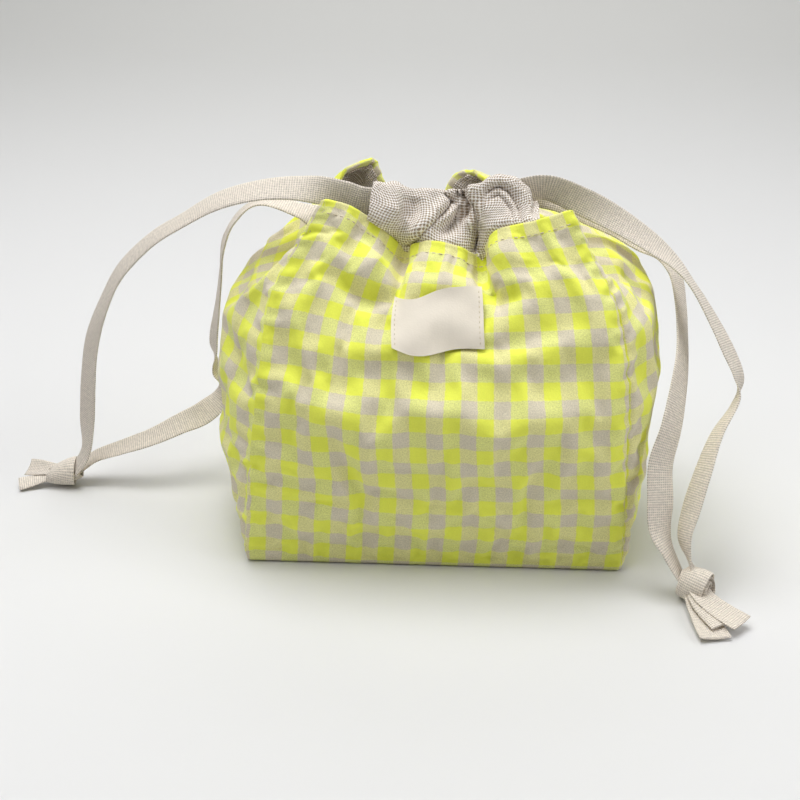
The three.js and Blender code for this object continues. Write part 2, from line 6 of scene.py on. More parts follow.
import bpy
import numpy as np
from bpy.props import FloatProperty, FloatVectorProperty, PointerProperty
from bpy.types import Operator, Panel, PropertyGroup
from mathutils import Matrix, Vector, noise


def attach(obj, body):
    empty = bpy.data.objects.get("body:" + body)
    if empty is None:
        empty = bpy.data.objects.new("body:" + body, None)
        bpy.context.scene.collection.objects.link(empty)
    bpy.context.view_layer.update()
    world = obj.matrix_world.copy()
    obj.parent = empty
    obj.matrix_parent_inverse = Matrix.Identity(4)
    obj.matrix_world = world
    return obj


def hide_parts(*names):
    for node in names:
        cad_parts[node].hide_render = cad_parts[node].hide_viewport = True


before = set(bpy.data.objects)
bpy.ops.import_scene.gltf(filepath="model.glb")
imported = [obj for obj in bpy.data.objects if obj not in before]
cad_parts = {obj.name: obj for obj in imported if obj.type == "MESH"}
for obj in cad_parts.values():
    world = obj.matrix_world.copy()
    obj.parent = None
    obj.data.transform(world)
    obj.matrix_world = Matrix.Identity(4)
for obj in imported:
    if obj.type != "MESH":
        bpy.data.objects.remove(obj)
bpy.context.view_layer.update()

bl_info = {
    "name": "Project Bag",
    "version": (1, 0, 0),
    "blender": (4, 5, 0),
    "location": "3D View > Sidebar > Project Bag",
    "description": "Builds a lined drawstring project bag, piece by piece",
    "category": "Add Mesh",
}

MM = 0.001


def linear(code):
    """An sRGB hex colour as linear red, green, blue and alpha."""
    parts = [int(code[k : k + 2], 16) / 255 for k in (1, 3, 5)]
    curve = [c / 12.92 if c <= 0.04045 else ((c + 0.055) / 1.055) ** 2.4 for c in parts]
    return (*curve, 1.0)


# Sizes and colours that a user may change


def size(name, description, default):
    return FloatProperty(name=name, description=description, default=default, unit="LENGTH", precision=4)


def colour(name, description, code):
    return FloatVectorProperty(
        name=name, description=description, default=linear(code), size=4, subtype="COLOR", min=0, max=1
    )


class BagSizes(PropertyGroup):
    base_width: size("Base width", "Side to side across the boxed base", 0.224)
    base_depth: size("Base depth", "Front to back across the boxed base", 0.14)
    corner_height: size("Corner height", "Height of the front left corner of the drawn rim", 0.213)
    outer_cloth: size("Outer cloth", "Thickness of the checked cotton", 0.0009)
    lining_cloth: size("Lining cloth", "Thickness of the dotted linen", 0.0008)
    check_repeat: size("Check repeat", "One yellow and one beige stripe of the gingham", 0.02)
    hem: size("Hem", "Distance of the topstitch from the rim", 0.0065)
    tape_width: size("Tape width", "Width of the drawstring tape", 0.016)
    tape_thickness: size("Tape thickness", "Thickness of the drawstring tape", 0.001)
    label_thickness: size("Label thickness", "Thickness of the sewn label", 0.0008)
    stitch_length: size("Stitch length", "Length of one stitch", 0.0026)


class BagColours(PropertyGroup):
    yellow: colour("Yellow", "Where yellow warp crosses yellow weft", "#F3F95C")
    warp_half: colour("Warp half-tone", "Yellow warp over beige weft", "#EAED92")
    weft_half: colour("Weft half-tone", "Yellow weft over beige warp", "#EDE9A1")
    beige: colour("Beige", "Where beige warp crosses beige weft", "#DFD6BE")
    linen: colour("Linen", "Ground of the lining cloth", "#A8957E")
    linen_dot: colour("Linen dot", "Raised white dots of the lining cloth", "#FAF4EE")
    tape: colour("Tape", "Woven drawstring tape", "#F0E6D8")
    label: colour("Label", "Faux-leather label", "#EEE5D5")
    thread: colour("Thread", "Sewing thread", "#DCD0B4")
    floor: colour("Floor", "Paper sweep under the bag", "#DEDEDE")
    # Painted light: the sweep behind the bag is painted a little paler to stand in for the light there, not a
    # paler paper
    far_floor_painted_light: colour("Far floor", "Paper sweep behind the bag", "#E4E4E1")


# Materials

SMOOTH = {"interpolation_type": "SMOOTHSTEP"}
COLOUR = {"data_type": "RGBA"}


def add_node(tree, kind, inputs=(), **settings):
    """Adds a node with its settings, fills or links its inputs by place or by name, and gives its outputs."""
    made = tree.nodes.new(f"ShaderNode{kind}")
    for key, value in settings.items():
        setattr(made, key, value)
    for key, value in inputs.items() if isinstance(inputs, dict) else enumerate(inputs):
        if isinstance(value, bpy.types.NodeSocket):
            tree.links.new(value, made.inputs[key])
        else:
            made.inputs[key].default_value = value
    return made.outputs


def new_material(name, roughness, ior=1.45, sheen=0.0):
    material = bpy.data.materials.new(name)
    material.use_nodes = True
    tree = material.node_tree
    shader = tree.nodes["Principled BSDF"]
    shader.inputs["Roughness"].default_value = roughness
    shader.inputs["IOR"].default_value = ior
    shader.inputs["Sheen Weight"].default_value = sheen
    shader.inputs["Sheen Roughness"].default_value = 0.5
    return material, tree, shader


def cloth_uv(tree):
    """The piece's UV map, in metres of cloth, and its parts across and along the cloth."""
    uv = add_node(tree, "UVMap", uv_map="cloth")[0]
    across, along, _ = add_node(tree, "SeparateXYZ", (uv,))
    return uv, across, along


def wave(tree, shape, position, pitch):
    """A wave over the cloth that comes back after each pitch, in metres."""
    angle = add_node(tree, "Math", (position, 2 * math.pi / pitch), operation="MULTIPLY")[0]
    return add_node(tree, "Math", (angle,), operation=shape)[0]


def stripes(tree, position, shift, repeat):
    """1 on a stripe half a repeat wide and 0 beside it, with an edge that is soft over a few threads."""
    soft_edge = 0.012
    moved = add_node(tree, "Math", (position, shift), operation="ADD")[0]
    repeats = add_node(tree, "Math", (moved, 1 / repeat), operation="MULTIPLY")[0]
    to_and_fro = add_node(tree, "Math", (repeats, 0.5), operation="PINGPONG")[0]
    return add_node(tree, "MapRange", (to_and_fro, 0.25 + soft_edge, 0.25 - soft_edge, 0.0, 1.0), **SMOOTH)[0]


def mottled(tree, plain, pattern, span, shades):
    """A colour darkened and lightened by a pattern, whose span of values gives the two shades."""
    shade = add_node(tree, "MapRange", (pattern, *span, *shades), **SMOOTH)[0]
    return add_node(tree, "Mix", {0: 1.0, 6: plain, 7: shade}, blend_type="MULTIPLY", **COLOUR)[2]


def checked_cotton(scene):
    """Plain-weave yarn-dyed cotton: matt, with a soft nap, crossed yellow and beige stripes and a grain."""
    colours, repeat = scene.bag_colours, scene.bag_sizes.check_repeat
    material, tree, shader = new_material("checked_cotton", 0.92, 1.47, 0.15)
    uv, across, up = cloth_uv(tree)
    # Stripe edges wander by a thread or two
    wander = add_node(tree, "TexNoise", {"Vector": uv, "Scale": 420.0, "Detail": 1.0})[0]
    shift = add_node(tree, "Math", (wander, 0.0009, -0.00045), operation="MULTIPLY_ADD")[0]
    warp, weft = (stripes(tree, part, shift, repeat) for part in (across, up))
    beige_weft = add_node(tree, "Mix", {0: warp, 6: colours.beige, 7: colours.warp_half}, **COLOUR)[2]
    yellow_weft = add_node(tree, "Mix", {0: warp, 6: colours.weft_half, 7: colours.yellow}, **COLOUR)[2]
    checks = add_node(tree, "Mix", {0: weft, 6: beige_weft, 7: yellow_weft}, **COLOUR)[2]
    # Thread grain about 0.8 mm, coarser than the real 0.4 mm so that it shows, and faint on pure yellow
    grain = add_node(tree, "TexNoise", {"Vector": uv, "Scale": 1250.0, "Detail": 2.0, "Roughness": 0.7})[0]
    specks = mottled(tree, checks, grain, (0.3, 0.72), (0.86, 1.14))
    yellow = add_node(tree, "Math", (warp, weft), operation="MULTIPLY")[0]
    grainy = add_node(tree, "Math", (yellow, -0.75, 1.0), operation="MULTIPLY_ADD")[0]
    base = add_node(tree, "Mix", {0: grainy, 6: checks, 7: specks}, **COLOUR)[2]
    tree.links.new(base, shader.inputs["Base Color"])
    # Weave relief at 0.9 mm, with washed creases of 4 to 8 mm under it
    ridges = [wave(tree, "SINE", part, 0.9 * MM) for part in (across, up)]
    weave = add_node(tree, "Math", ridges, operation="MULTIPLY")[0]
    creases = add_node(tree, "TexNoise", {"Vector": uv, "Scale": 150.0, "Detail": 3.0, "Roughness": 0.6})[0]
    relief = add_node(tree, "Math", (creases, 0.9), operation="MULTIPLY")[0]
    relief = add_node(tree, "Math", (weave, 0.05, relief), operation="MULTIPLY_ADD")[0]
    relief = add_node(tree, "Math", (grain, 0.14, relief), operation="MULTIPLY_ADD")[0]
    bump = add_node(tree, "Bump", {"Strength": 0.55, "Distance": 0.0011, "Height": relief})
    tree.links.new(bump[0], shader.inputs["Normal"])
    return material


def dotted_linen(scene):
    """Dobby-woven linen and cotton: matt grey-beige ground with raised white floats in a square grid."""
    colours = scene.bag_colours
    material, tree, shader = new_material("dotted_linen", 0.9, 1.46, 0.1)
    uv, across, up = cloth_uv(tree)
    # Dots 1.5 mm apart, a little coarser than the real ones so that they show
    waves = [wave(tree, "COSINE", part, 1.5 * MM) for part in (across, up)]
    floats = add_node(tree, "Math", waves, operation="ADD")[0]
    dot = add_node(tree, "MapRange", (floats, -0.9, 0.5, 0.0, 1.0), **SMOOTH)[0]
    dots = add_node(tree, "Mix", {0: dot, 6: colours.linen, 7: colours.linen_dot}, **COLOUR)[2]
    slub = add_node(tree, "TexNoise", {"Vector": uv, "Scale": 300.0, "Detail": 3.0, "Roughness": 0.7})[0]
    tree.links.new(mottled(tree, dots, slub, (0.3, 0.7), (0.9, 1.08)), shader.inputs["Base Color"])
    bump = add_node(tree, "Bump", {"Strength": 0.5, "Distance": 0.00035, "Height": floats})
    tree.links.new(bump[0], shader.inputs["Normal"])
    return material


def woven_tape(scene):
    """Woven linen and cotton tape: matt, with cross ribs over fine lengthwise threads and paler flecks."""
    material, tree, shader = new_material("woven_tape", 0.85, 1.46, 0.12)
    uv, across, along = cloth_uv(tree)
    # Threads 1.2 mm apart and ribs 1.4 mm apart, coarser than the real ones so that they show
    ends = wave(tree, "COSINE", across, 1.2 * MM)
    picks = wave(tree, "COSINE", along, 1.4 * MM)
    rib = add_node(tree, "Math", (ends, 0.4), operation="MULTIPLY")[0]
    rib = add_node(tree, "Math", (picks, 0.6, rib), operation="MULTIPLY_ADD")[0]
    fleck = add_node(tree, "TexNoise", {"Vector": uv, "Scale": 480.0, "Detail": 2.0, "Roughness": 0.7})[0]
    weave = mottled(tree, scene.bag_colours.tape, rib, (-1.0, 0.2), (0.6, 1.0))
    tree.links.new(mottled(tree, weave, fleck, (0.25, 0.75), (0.86, 1.08)), shader.inputs["Base Color"])
    relief = add_node(tree, "Math", (fleck, 0.6, rib), operation="MULTIPLY_ADD")[0]
    bump = add_node(tree, "Bump", {"Strength": 0.5, "Distance": 0.0004, "Height": relief})
    tree.links.new(bump[0], shader.inputs["Normal"])
    return material


def coated_faux_leather(scene):
    """Coated faux leather: smooth cream skin with a fine pore grain and a low even sheen."""
    material, tree, shader = new_material("coated_faux_leather", 0.62, 1.5)
    uv, _, _ = cloth_uv(tree)
    cloud = add_node(tree, "TexNoise", {"Vector": uv, "Scale": 60.0, "Detail": 3.0})[0]
    base = mottled(tree, scene.bag_colours.label, cloud, (0.3, 0.7), (0.96, 1.03))
    tree.links.new(base, shader.inputs["Base Color"])
    # Pores about 0.9 mm apart, coarser than the real ones so that they show
    pores = add_node(tree, "TexVoronoi", {"Vector": uv, "Scale": 1100.0})[0]
    bump = add_node(tree, "Bump", {"Strength": 0.2, "Distance": 0.0002, "Height": pores})
    tree.links.new(bump[0], shader.inputs["Normal"])
    return material


def cotton_thread(scene):
    """Spun sewing thread: matt, with the twist of its plies along its length."""
    material, tree, shader = new_material("cotton_thread", 0.8, 1.46, 0.1)
    place = add_node(tree, "TexCoord")["Object"]
    ply = add_node(tree, "TexNoise", {"Vector": place, "Scale": 1800.0, "Detail": 1.0})[0]
    base = mottled(tree, scene.bag_colours.thread, ply, (0.3, 0.7), (0.8, 1.1))
    tree.links.new(base, shader.inputs["Base Color"])
    return material


def paper_sweep(scene):
    """Matt paper sweep: plain and pale, with painted light that makes it a little paler behind the bag."""
    colours = scene.bag_colours
    material, tree, shader = new_material("paper_sweep", 0.95)
    place = add_node(tree, "TexCoord")["Object"]
    _, back, _ = add_node(tree, "SeparateXYZ", (place,))
    # Painted light: the sweep turns paler farther behind the bag
    far_painted_light = add_node(tree, "MapRange", (back, 0.25, 2.2, 0.0, 1.0), **SMOOTH)[0]
    base = add_node(tree, "Mix", {0: far_painted_light, 6: colours.floor, 7: colours.far_floor_painted_light}, **COLOUR)[2]
    tree.links.new(base, shader.inputs["Base Color"])
    return material


MAKERS = {
    maker.__name__: maker
    for maker in (checked_cotton, dotted_linen, woven_tape, coated_faux_leather, cotton_thread, paper_sweep)
}


def finish_of(name):
    """The named material, made the first time that a piece asks for it."""
    return bpy.data.materials.get(name) or MAKERS[name](bpy.context.scene)


# Curves and cloth surfaces


def unit(vectors):
    """Vectors with a length of one."""
    return vectors / np.maximum(np.linalg.norm(vectors, axis=-1, keepdims=True), 1e-12)


def run_along(points):
    """How far along its line each point lies, for one line or for each line of a grid."""
    steps = np.linalg.norm(np.diff(points, axis=-2), axis=-1)
    return np.concatenate([np.zeros(steps[..., :1].shape), np.cumsum(steps, -1)], -1)


def smooth_line(points, per=24):
    """Points along a centripetal spline through a few chosen ones, evenly many between each pair."""
    p = np.array(points, float)
    p = np.vstack([2 * p[0] - p[1], p, 2 * p[-1] - p[-2]])
    t = np.linspace(0, 1, per, endpoint=False)[:, None]
    out = []
    for a, b, c, d in zip(p, p[1:], p[2:], p[3:]):
        g = [max(np.linalg.norm(q - r) ** 0.5, 1e-5) for q, r in ((b, a), (c, b), (d, c))]
        m1 = ((b - a) / g[0] - (c - a) / (g[0] + g[1]) + (c - b) / g[1]) * g[1]
        m2 = ((c - b) / g[1] - (d - b) / (g[1] + g[2]) + (d - c) / g[2]) * g[1]
        out.append(b + t * m1 + t**2 * (3 * (c - b) - 2 * m1 - m2) + t**3 * (2 * (b - c) + m1 + m2))
    return np.vstack([*out, p[-2:-1]])


def read_line(values, run, where):
    """Values along a line, read at distances along it."""
    return np.stack([np.interp(where, run, values[:, k]) for k in range(3)], -1)


class Line:
    """A smooth line that is read by its share of length."""

    def __init__(self, points):
        self.points = smooth_line(points)
        self.run = run_along(self.points)
        self.end = self.points[-1]

    def at(self, share):
        return read_line(self.points, self.run, share * self.run[-1])


def ramp(stops, value):
    """A smooth value through a few (position, value) stops."""
    xs, ys = np.array(stops, float).T
    k = np.clip(np.searchsorted(xs, value, side="right") - 1, 0, len(xs) - 2)
    t = np.clip((value - xs[k]) / (xs[k + 1] - xs[k]), 0, 1)
    return ys[k] + (ys[k + 1] - ys[k]) * t * t * (3 - 2 * t)


def facing(grid):
    """Outward normals over a grid of points."""
    return unit(np.cross(np.gradient(grid, axis=0), np.gradient(grid, axis=1)))


def softened(grid, passes):
    """A grid of points with its folds smoothed out."""
    soft = grid.copy()
    for _ in range(passes):
        soft[1:-1] = (soft[:-2] + 2 * soft[1:-1] + soft[2:]) / 4
        soft[:, 1:-1] = (soft[:, :-2] + 2 * soft[:, 1:-1] + soft[:, 2:]) / 4
    return soft


Near = namedtuple("Near", "gap along total left heading_a heading_b")


def nearest_on(points, a, b):
    """The nearest place on a line drawn on the cloth: how far off and along, and the line's heading there."""
    line = np.array(points, float)
    gap = np.full(a.shape, np.inf)
    along, left, heading_a, heading_b = (np.zeros(a.shape) for _ in range(4))
    run = 0.0
    for p, q in zip(line, line[1:]):
        length = np.linalg.norm(q - p)
        d = (q - p) / length
        t = np.clip((a - p[0]) * d[0] + (b - p[1]) * d[1], 0, length)
        off = np.hypot(a - p[0] - t * d[0], b - p[1] - t * d[1])
        closer = off < gap
        gap = np.where(closer, off, gap)
        along = np.where(closer, run + t, along)
        left = np.where(closer, d[0] * (b - p[1]) - d[1] * (a - p[0]), left)
        heading_a = np.where(closer, d[0], heading_a)
        heading_b = np.where(closer, d[1], heading_b)
        run += length
    return Near(gap, along, run, left, heading_a, heading_b)


def crease(a, b, points, half_width, height):
    """A fold along a line drawn on the cloth in mm, fading at both ends; a negative height is a valley."""
    near = nearest_on(points, a, b)
    to_end = np.minimum(near.along, near.total - near.along)
    ends = np.clip(to_end / (0.35 * near.total) + 0.35, 0, 1)
    return height * np.exp(-((near.gap / half_width) ** 2)) * ends


def groove(a, b, points, radius, depth):
    """A sharp valley where two puffed folds meet along a line drawn on the cloth, in mm."""
    near = nearest_on(points, a, b)
    to_end = np.minimum(near.along, near.total - near.along)
    ends = np.clip(to_end / (0.3 * near.total) + 0.3, 0, 1)
    inside = np.clip(1 - near.gap / radius, 0, 1)
    return -depth * ends * (1 - np.sqrt(1 - inside**2))


def fold_over(a, b, points, reach, height, lap):
    """A fold that laps over its neighbour: high on the left of the line, tucked under on its right.

    Gives the height out of the cloth and the sideways shift of the lapping edge, in mm.
    """
    near = nearest_on(points, a, b)
    fading = 0.3 * near.total
    ends = np.clip(np.minimum(near.along + fading, near.total - near.along) / fading, 0, 1)
    fade = np.exp(-((near.gap / np.where(near.left > 0, reach, 0.8 * reach)) ** 2)) * ends
    lift = height * np.tanh(near.left / 0.7) * fade
    shift = lap * np.exp(-((near.gap / 2.6) ** 2)) * ends * np.clip(near.left / 0.6 + 1, 0, 1)
    return lift, shift * near.heading_b, -shift * near.heading_a


def puff(a, b, centre, radii, height):
    """A soft round swelling on the cloth, in mm."""
    return height * np.exp(-(((a - centre[0]) / radii[0]) ** 2 + ((b - centre[1]) / radii[1]) ** 2))


def rumple(a, b, across, along, seed):
    """Smooth random unevenness between -1 and 1 with the given wavelengths in mm."""
    flat = [
        noise.noise(Vector((x / across, y / along, seed)), noise_basis="PERLIN_ORIGINAL")
        for x, y in zip(a.ravel(), b.ravel())
    ]
    return np.array(flat).reshape(a.shape)


# Meshes


def quads(index):
    """Faces over a grid of point numbers, facing out where across turns to up."""
    corners = index[:-1, :-1], index[1:, :-1], index[1:, 1:], index[:-1, 1:]
    return np.stack(corners, -1).reshape(-1, 4).tolist()


def numbered(columns, rows):
    """Point numbers of a grid, column by column."""
    return np.arange(columns * rows).reshape(columns, rows)


def put(name, verts, faces, uvs, material):
    """A smooth mesh object at the origin with cloth coordinates, one pair per vertex, as its UV map."""
    mesh = bpy.data.meshes.new(name)
    mesh.from_pydata([tuple(v) for v in verts], [], faces)
    mesh.materials.append(finish_of(material))
    layer = mesh.uv_layers.new(name="cloth")
    corner = np.zeros(len(mesh.loops), dtype=np.int32)
    mesh.loops.foreach_get("vertex_index", corner)
    layer.data.foreach_set("uv", np.asarray(uvs, np.float32)[corner].ravel())
    mesh.polygons.foreach_set("use_smooth", [True] * len(mesh.polygons))
    mesh.update()
    made = bpy.data.objects.new(name, mesh)
    bpy.context.scene.collection.objects.link(made)
    return made


def pick(pieces):
    """Selects these pieces alone, with the first one active."""
    bpy.ops.object.select_all(action="DESELECT")
    for piece in pieces:
        piece.select_set(True)
    bpy.context.view_layer.objects.active = pieces[0]


def joined(pieces, name):
    """Several meshes as one object."""
    pick(pieces)
    bpy.ops.object.join()
    pieces[0].name = name
    return pieces[0]


def put_sheet(name, grid, uv, material, thickness):
    """A sheet of cloth over a grid of points, thick away from its face and never below the floor."""
    piece = put(name, grid.reshape(-1, 3), quads(numbered(*grid.shape[:2])), uv.reshape(-1, 2), material)
    solid = piece.modifiers.new("thickness", "SOLIDIFY")
    solid.thickness = thickness
    solid.offset = -1
    solid.use_even_offset = False
    pick([piece])
    bpy.ops.object.modifier_apply(modifier=solid.name)
    for vertex in piece.data.vertices:
        vertex.co.z = max(vertex.co.z, 0)
    bpy.ops.object.shade_smooth_by_angle(angle=math.radians(60))
    return piece


def dress(piece, body, node):
    """Puts a piece on the body that it moves with, in place of a plain solid, which it hides."""
    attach(piece, body)
    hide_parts(node)


# The four walls, drawn in shares of half the base and of the corner height

SEAMS = {
    "front_left": (
        (-1, -1, 0), (-0.965, -1.1, 0.21), (-0.92, -1.11, 0.4), (-0.875, -1.03, 0.58),
        (-0.83, -0.81, 0.765), (-0.715, -0.61, 0.89), (-0.59, -0.457, 1),
    ),
    "front_right": (
        (1, -1, 0), (1.01, -1.07, 0.165), (0.99, -1.11, 0.35), (0.975, -1.06, 0.555),
        (0.9, -0.83, 0.775), (0.79, -0.63, 0.873), (0.685, -0.457, 0.985),
    ),
    "back_right": (
        (1, 1, 0), (1.01, 1.06, 0.19), (1.02, 1.06, 0.4), (1.035, 0.94, 0.61),
        (0.98, 0.8, 0.765), (0.82, 0.71, 0.83), (0.48, 0.57, 0.915), (0.17, 0.43, 1.014),
    ),
    "back_left": (
        (-1, 1, 0), (-1, 1.06, 0.21), (-0.98, 1.03, 0.42), (-0.965, 0.92, 0.62),
        (-0.9, 0.8, 0.74), (-0.74, 0.7, 0.84), (-0.54, 0.59, 0.945), (-0.36, 0.457, 1.043),
    ),
}
RIMS = {
    "front": (
        (-0.445, -0.415, 0.977), (-0.295, -0.343, 0.915), (-0.188, -0.286, 0.859), (-0.045, -0.4, 0.883),
        (0.107, -0.371, 0.864), (0.205, -0.286, 0.836), (0.277, -0.386, 0.911), (0.473, -0.429, 0.944),
    ),
    "right": ((0.6, -0.2, 0.86), (0.5, 0.05, 0.74), (0.36, 0.25, 0.87), (0.25, 0.37, 0.985)),
    "back": (
        (0.09, 0.44, 0.998), (0.035, 0.43, 0.965), (-0.04, 0.39, 0.84), (-0.19, 0.37, 0.835),
        (-0.28, 0.45, 0.92),
    ),
    "left": ((-0.46, 0.42, 1.026), (-0.55, 0.34, 0.985), (-0.58, 0.1, 0.77), (-0.575, -0.2, 0.86)),
}
WALL_SWELL = ((0, 0), (0.2, 0.45), (0.44, 1), (0.6, 0.42), (0.76, 0.12), (1, 0))
SIDE_SWELL = (
    (0, 0), (0.06, 0.4), (0.14, 0.68), (0.28, 0.92), (0.46, 1), (0.6, 0.9), (0.7, 0.64), (0.84, 0.16), (1, 0),
)
WALL_FOLD = ((0, 0), (0.6, 0), (0.8, 0.25), (1, 1))
SIDE_FOLD = ((0, 0), (0.66, 0), (0.85, 0.38), (1, 1))

# Each wall: the seams at its sides, how far and where it swells out, where its rim folds in, and its cut
# width and height in mm
Wall = namedtuple("Wall", "left right outward swell fold width height")
WALLS = {
    "front": Wall("front_left", "front_right", (0, -0.014, 0), WALL_SWELL, WALL_FOLD, 234, 228),
    "right": Wall("front_right", "back_right", (0.017, 0, 0), SIDE_SWELL, SIDE_FOLD, 146, 240),
    "back": Wall("back_right", "back_left", (0, 0.012, 0), WALL_SWELL, WALL_FOLD, 234, 245),
    "left": Wall("back_left", "front_left", (-0.027, 0, 0), SIDE_SWELL, SIDE_FOLD, 146, 240),
}
ORDER = ("front", "right", "back", "left")
NODES = {"front": "front_panel", "right": "right_gusset", "back": "back_panel", "left": "left_gusset"}

# Creases on each wall in mm of cloth: the line, its half width and its height
SIDE_CREASES = (
    (((122, 205), (112, 175), (118, 140)), 6, 2.2),
    (((24, 205), (34, 175), (28, 140)), 6, 2.0),
    (((50, 150), (73, 162), (98, 150)), 8, -2),
)
CREASES = {
    # Gathers under the two pinches of the rim, then slack over the belly and beside the label
    "front": (
        (((40, 184), (58, 174), (78, 177)), 6.5, -6.5),
        (((77, 232), (81, 200), (84, 172)), 4.2, -6.5),
        (((145, 232), (144, 205), (150, 176)), 4.2, -6.5),
        (((146, 190), (154, 178), (172, 180)), 6.5, -6),
        (((28, 226), (26, 190), (22, 150)), 7, 2.0),
        (((205, 226), (208, 190), (214, 150)), 7, 1.8),
        (((52, 92), (66, 60), (74, 22)), 8, -2.0),
        (((182, 90), (172, 50), (168, 20)), 9, -1.6),
        (((100, 150), (150, 146), (196, 158)), 7, -1.6),
    ),
    "right": SIDE_CREASES,
    "back": (
        (((92, 245), (90, 210), (84, 170)), 5, -4),
        (((142, 245), (146, 210), (152, 170)), 5, -4),
        (((40, 160), (117, 150), (190, 162)), 8, -1.5),
    ),
    # A ridge more runs down from the front corner of the rim
    "left": (
        *SIDE_CREASES,
        (((140, 218), (133, 196), (124, 174), (108, 156)), 4, 3.2),
        (((130, 214), (122, 192), (112, 172)), 5, -2.2),
    ),
}
# Puffs on each wall in mm of cloth: centre, radii and height
PUFFS = {
    "front": (
        ((60, 198), (13, 12), 6.5), ((112, 213), (17, 12), 3.5), ((172, 210), (14, 13), 5.5),
        ((51, 108), (18, 12), 3.0), ((175, 108), (17, 11), 3.2), ((110, 112), (26, 9), 1.8),
    ),
    "right": (),
    "back": (((117, 222), (18, 14), 2.5), ((60, 205), (16, 20), 3), ((176, 205), (16, 20), 3)),
    "left": (),
}
# Columns across each wall and rows up it, and the mm between two columns
COLUMNS = {"front": 156, "right": 96, "back": 144, "left": 96}
ROWS = 156
COLUMN_STEP = 1.5
# How each corner seam stands: a rolled ridge is positive, a sunk line negative, in mm
SEAM_ROLL = {"front_left": 1.7, "front_right": -2.2, "back_right": 0.8, "back_left": 0.8}
# The two back corners curl forward like hoods: how far they hollow out below the rim, in mm
HOODS = {"back_left": 4.0, "back_right": 3.0}
# How far each corner keeps its soft turn up at the rim, where the pinched cloth stands stiffer
RIM_SOFTNESS = {"front_left": 0.5, "front_right": 0.55, "back_right": 1.0, "back_left": 1.0}
# How soft a corner is at the base
FOOT_SOFTNESS = 0.12
# Reach in mm and strength of the soft turn at a corner seam, and how many times it is smoothed
CORNER_REACH = 20
CORNER_PULL = 0.8
CORNER_PASSES = 26
MOUTH_PASSES = 10
# Radius of the turn under to the base, in mm
FOOT_RADIUS = 3.5
# Spacing of the puckers along a seam, in mm
PUCKER = 10
# Coarse copy of the walls that is draped: its columns, rows, frames and spare cloth
DRAPE_COLUMNS = 160
DRAPE_ROWS = 56
DRAPE_FRAMES = 45
DRAPE_SLACK = 0.032
# The sewn walls: points, normals, the points behind for the lining, and mm of cloth across and up
Sewn = namedtuple("Sewn", "points normals inside across up")
SEWN = {}


def scaled(sizes, point):
    """A point given in shares of half the base and of the corner height, in metres."""
    return (point[0] * sizes.base_width / 2, point[1] * sizes.base_depth / 2, point[2] * sizes.corner_height)


def seam_line(sizes, name):
    return Line([scaled(sizes, p) for p in SEAMS[name]])


def rim_line(sizes, wall):
    left, right = seam_line(sizes, WALLS[wall].left), seam_line(sizes, WALLS[wall].right)
    return Line([left.end, *(scaled(sizes, p) for p in RIMS[wall]), right.end])


def plain_wall(sizes, wall, s, v):
    """The wall's outer face before folds and creases."""
    cut = WALLS[wall]
    left, right, rim = seam_line(sizes, cut.left), seam_line(sizes, cut.right), rim_line(sizes, wall)
    a, b = left.at(v), right.at(v)
    point = a + (b - a) * s[..., None]
    chord = left.end + (right.end - left.end) * s[..., None]
    point += ramp(cut.fold, v)[..., None] * (rim.at(s) - chord)
    return point + np.array(cut.outward) * (ramp(cut.swell, v) * (1 - (2 * s - 1) ** 2))[..., None]


def row_shares():
    """Shares of a wall's height for its rows, which crowd together at the base and at the rim."""
    t = np.linspace(0, 1, ROWS)
    return t - 0.5 * np.sin(2 * math.pi * t) / (2 * math.pi)


def ring_facing(ring):
    """Outward normals over a closed ring of columns."""
    return unit(np.cross(np.roll(ring, -1, 0) - np.roll(ring, 1, 0), np.gradient(ring, axis=1)))


def beside(ring):
    """The middle between the two columns beside each column of a closed ring."""
    return (np.roll(ring, 1, 0) + np.roll(ring, -1, 0)) / 2


def wall_relief(wall, a, b):
    """Folds, slack and sewing puckers of one wall, in mm out of its face."""
    seed = 3.7 * ORDER.index(wall) + 1.3
    off_seam = np.minimum(a, WALLS[wall].width - a)
    h = sum(puff(a, b, *p) for p in PUFFS[wall]) + sum(crease(a, b, *c) for c in CREASES[wall])
    h += 1.1 * rumple(a, b, 36, 26, seed) + 0.55 * rumple(a, b, 17, 13, seed + 9)
    h += (0.4 + 0.6 * np.clip((b - 150) / 80, 0, 1)) * rumple(a, b, 8, 20, seed + 21)
    ripple = np.sin(b * 2 * math.pi / PUCKER + 3 * rumple(a, b, 30, 30, seed + 4))
    pucker = np.exp(-(((off_seam - 5) / 5) ** 2)) * ripple
    return (h * np.clip(off_seam / 10, 0, 1) ** 1.2 + 0.45 * pucker) * np.clip(b / 16, 0, 1)


def seam_relief(name, start, b, rows):
    """A corner seam as a rolled ridge or a sunk line, and the hollow of a hood, in mm out of the cloth."""
    off = np.abs(np.arange(len(b)) - start)
    gap = (np.minimum(off, len(b) - off) * COLUMN_STEP)[:, None]
    if SEAM_ROLL[name] > 0:
        line = np.exp(-((gap / 2.3) ** 2))
    else:
        line = np.exp(-((gap / 1.6) ** 2)) * ramp(((0, 1), (0.8, 1), (0.92, 0), (1, 0)), rows)
    hood = np.exp(-((gap / 13) ** 2)) * np.exp(-(((rows - 0.93) / 0.035) ** 2))
    return SEAM_ROLL[name] * line * np.clip(b / 12, 0, 1) + HOODS.get(name, 0) * hood


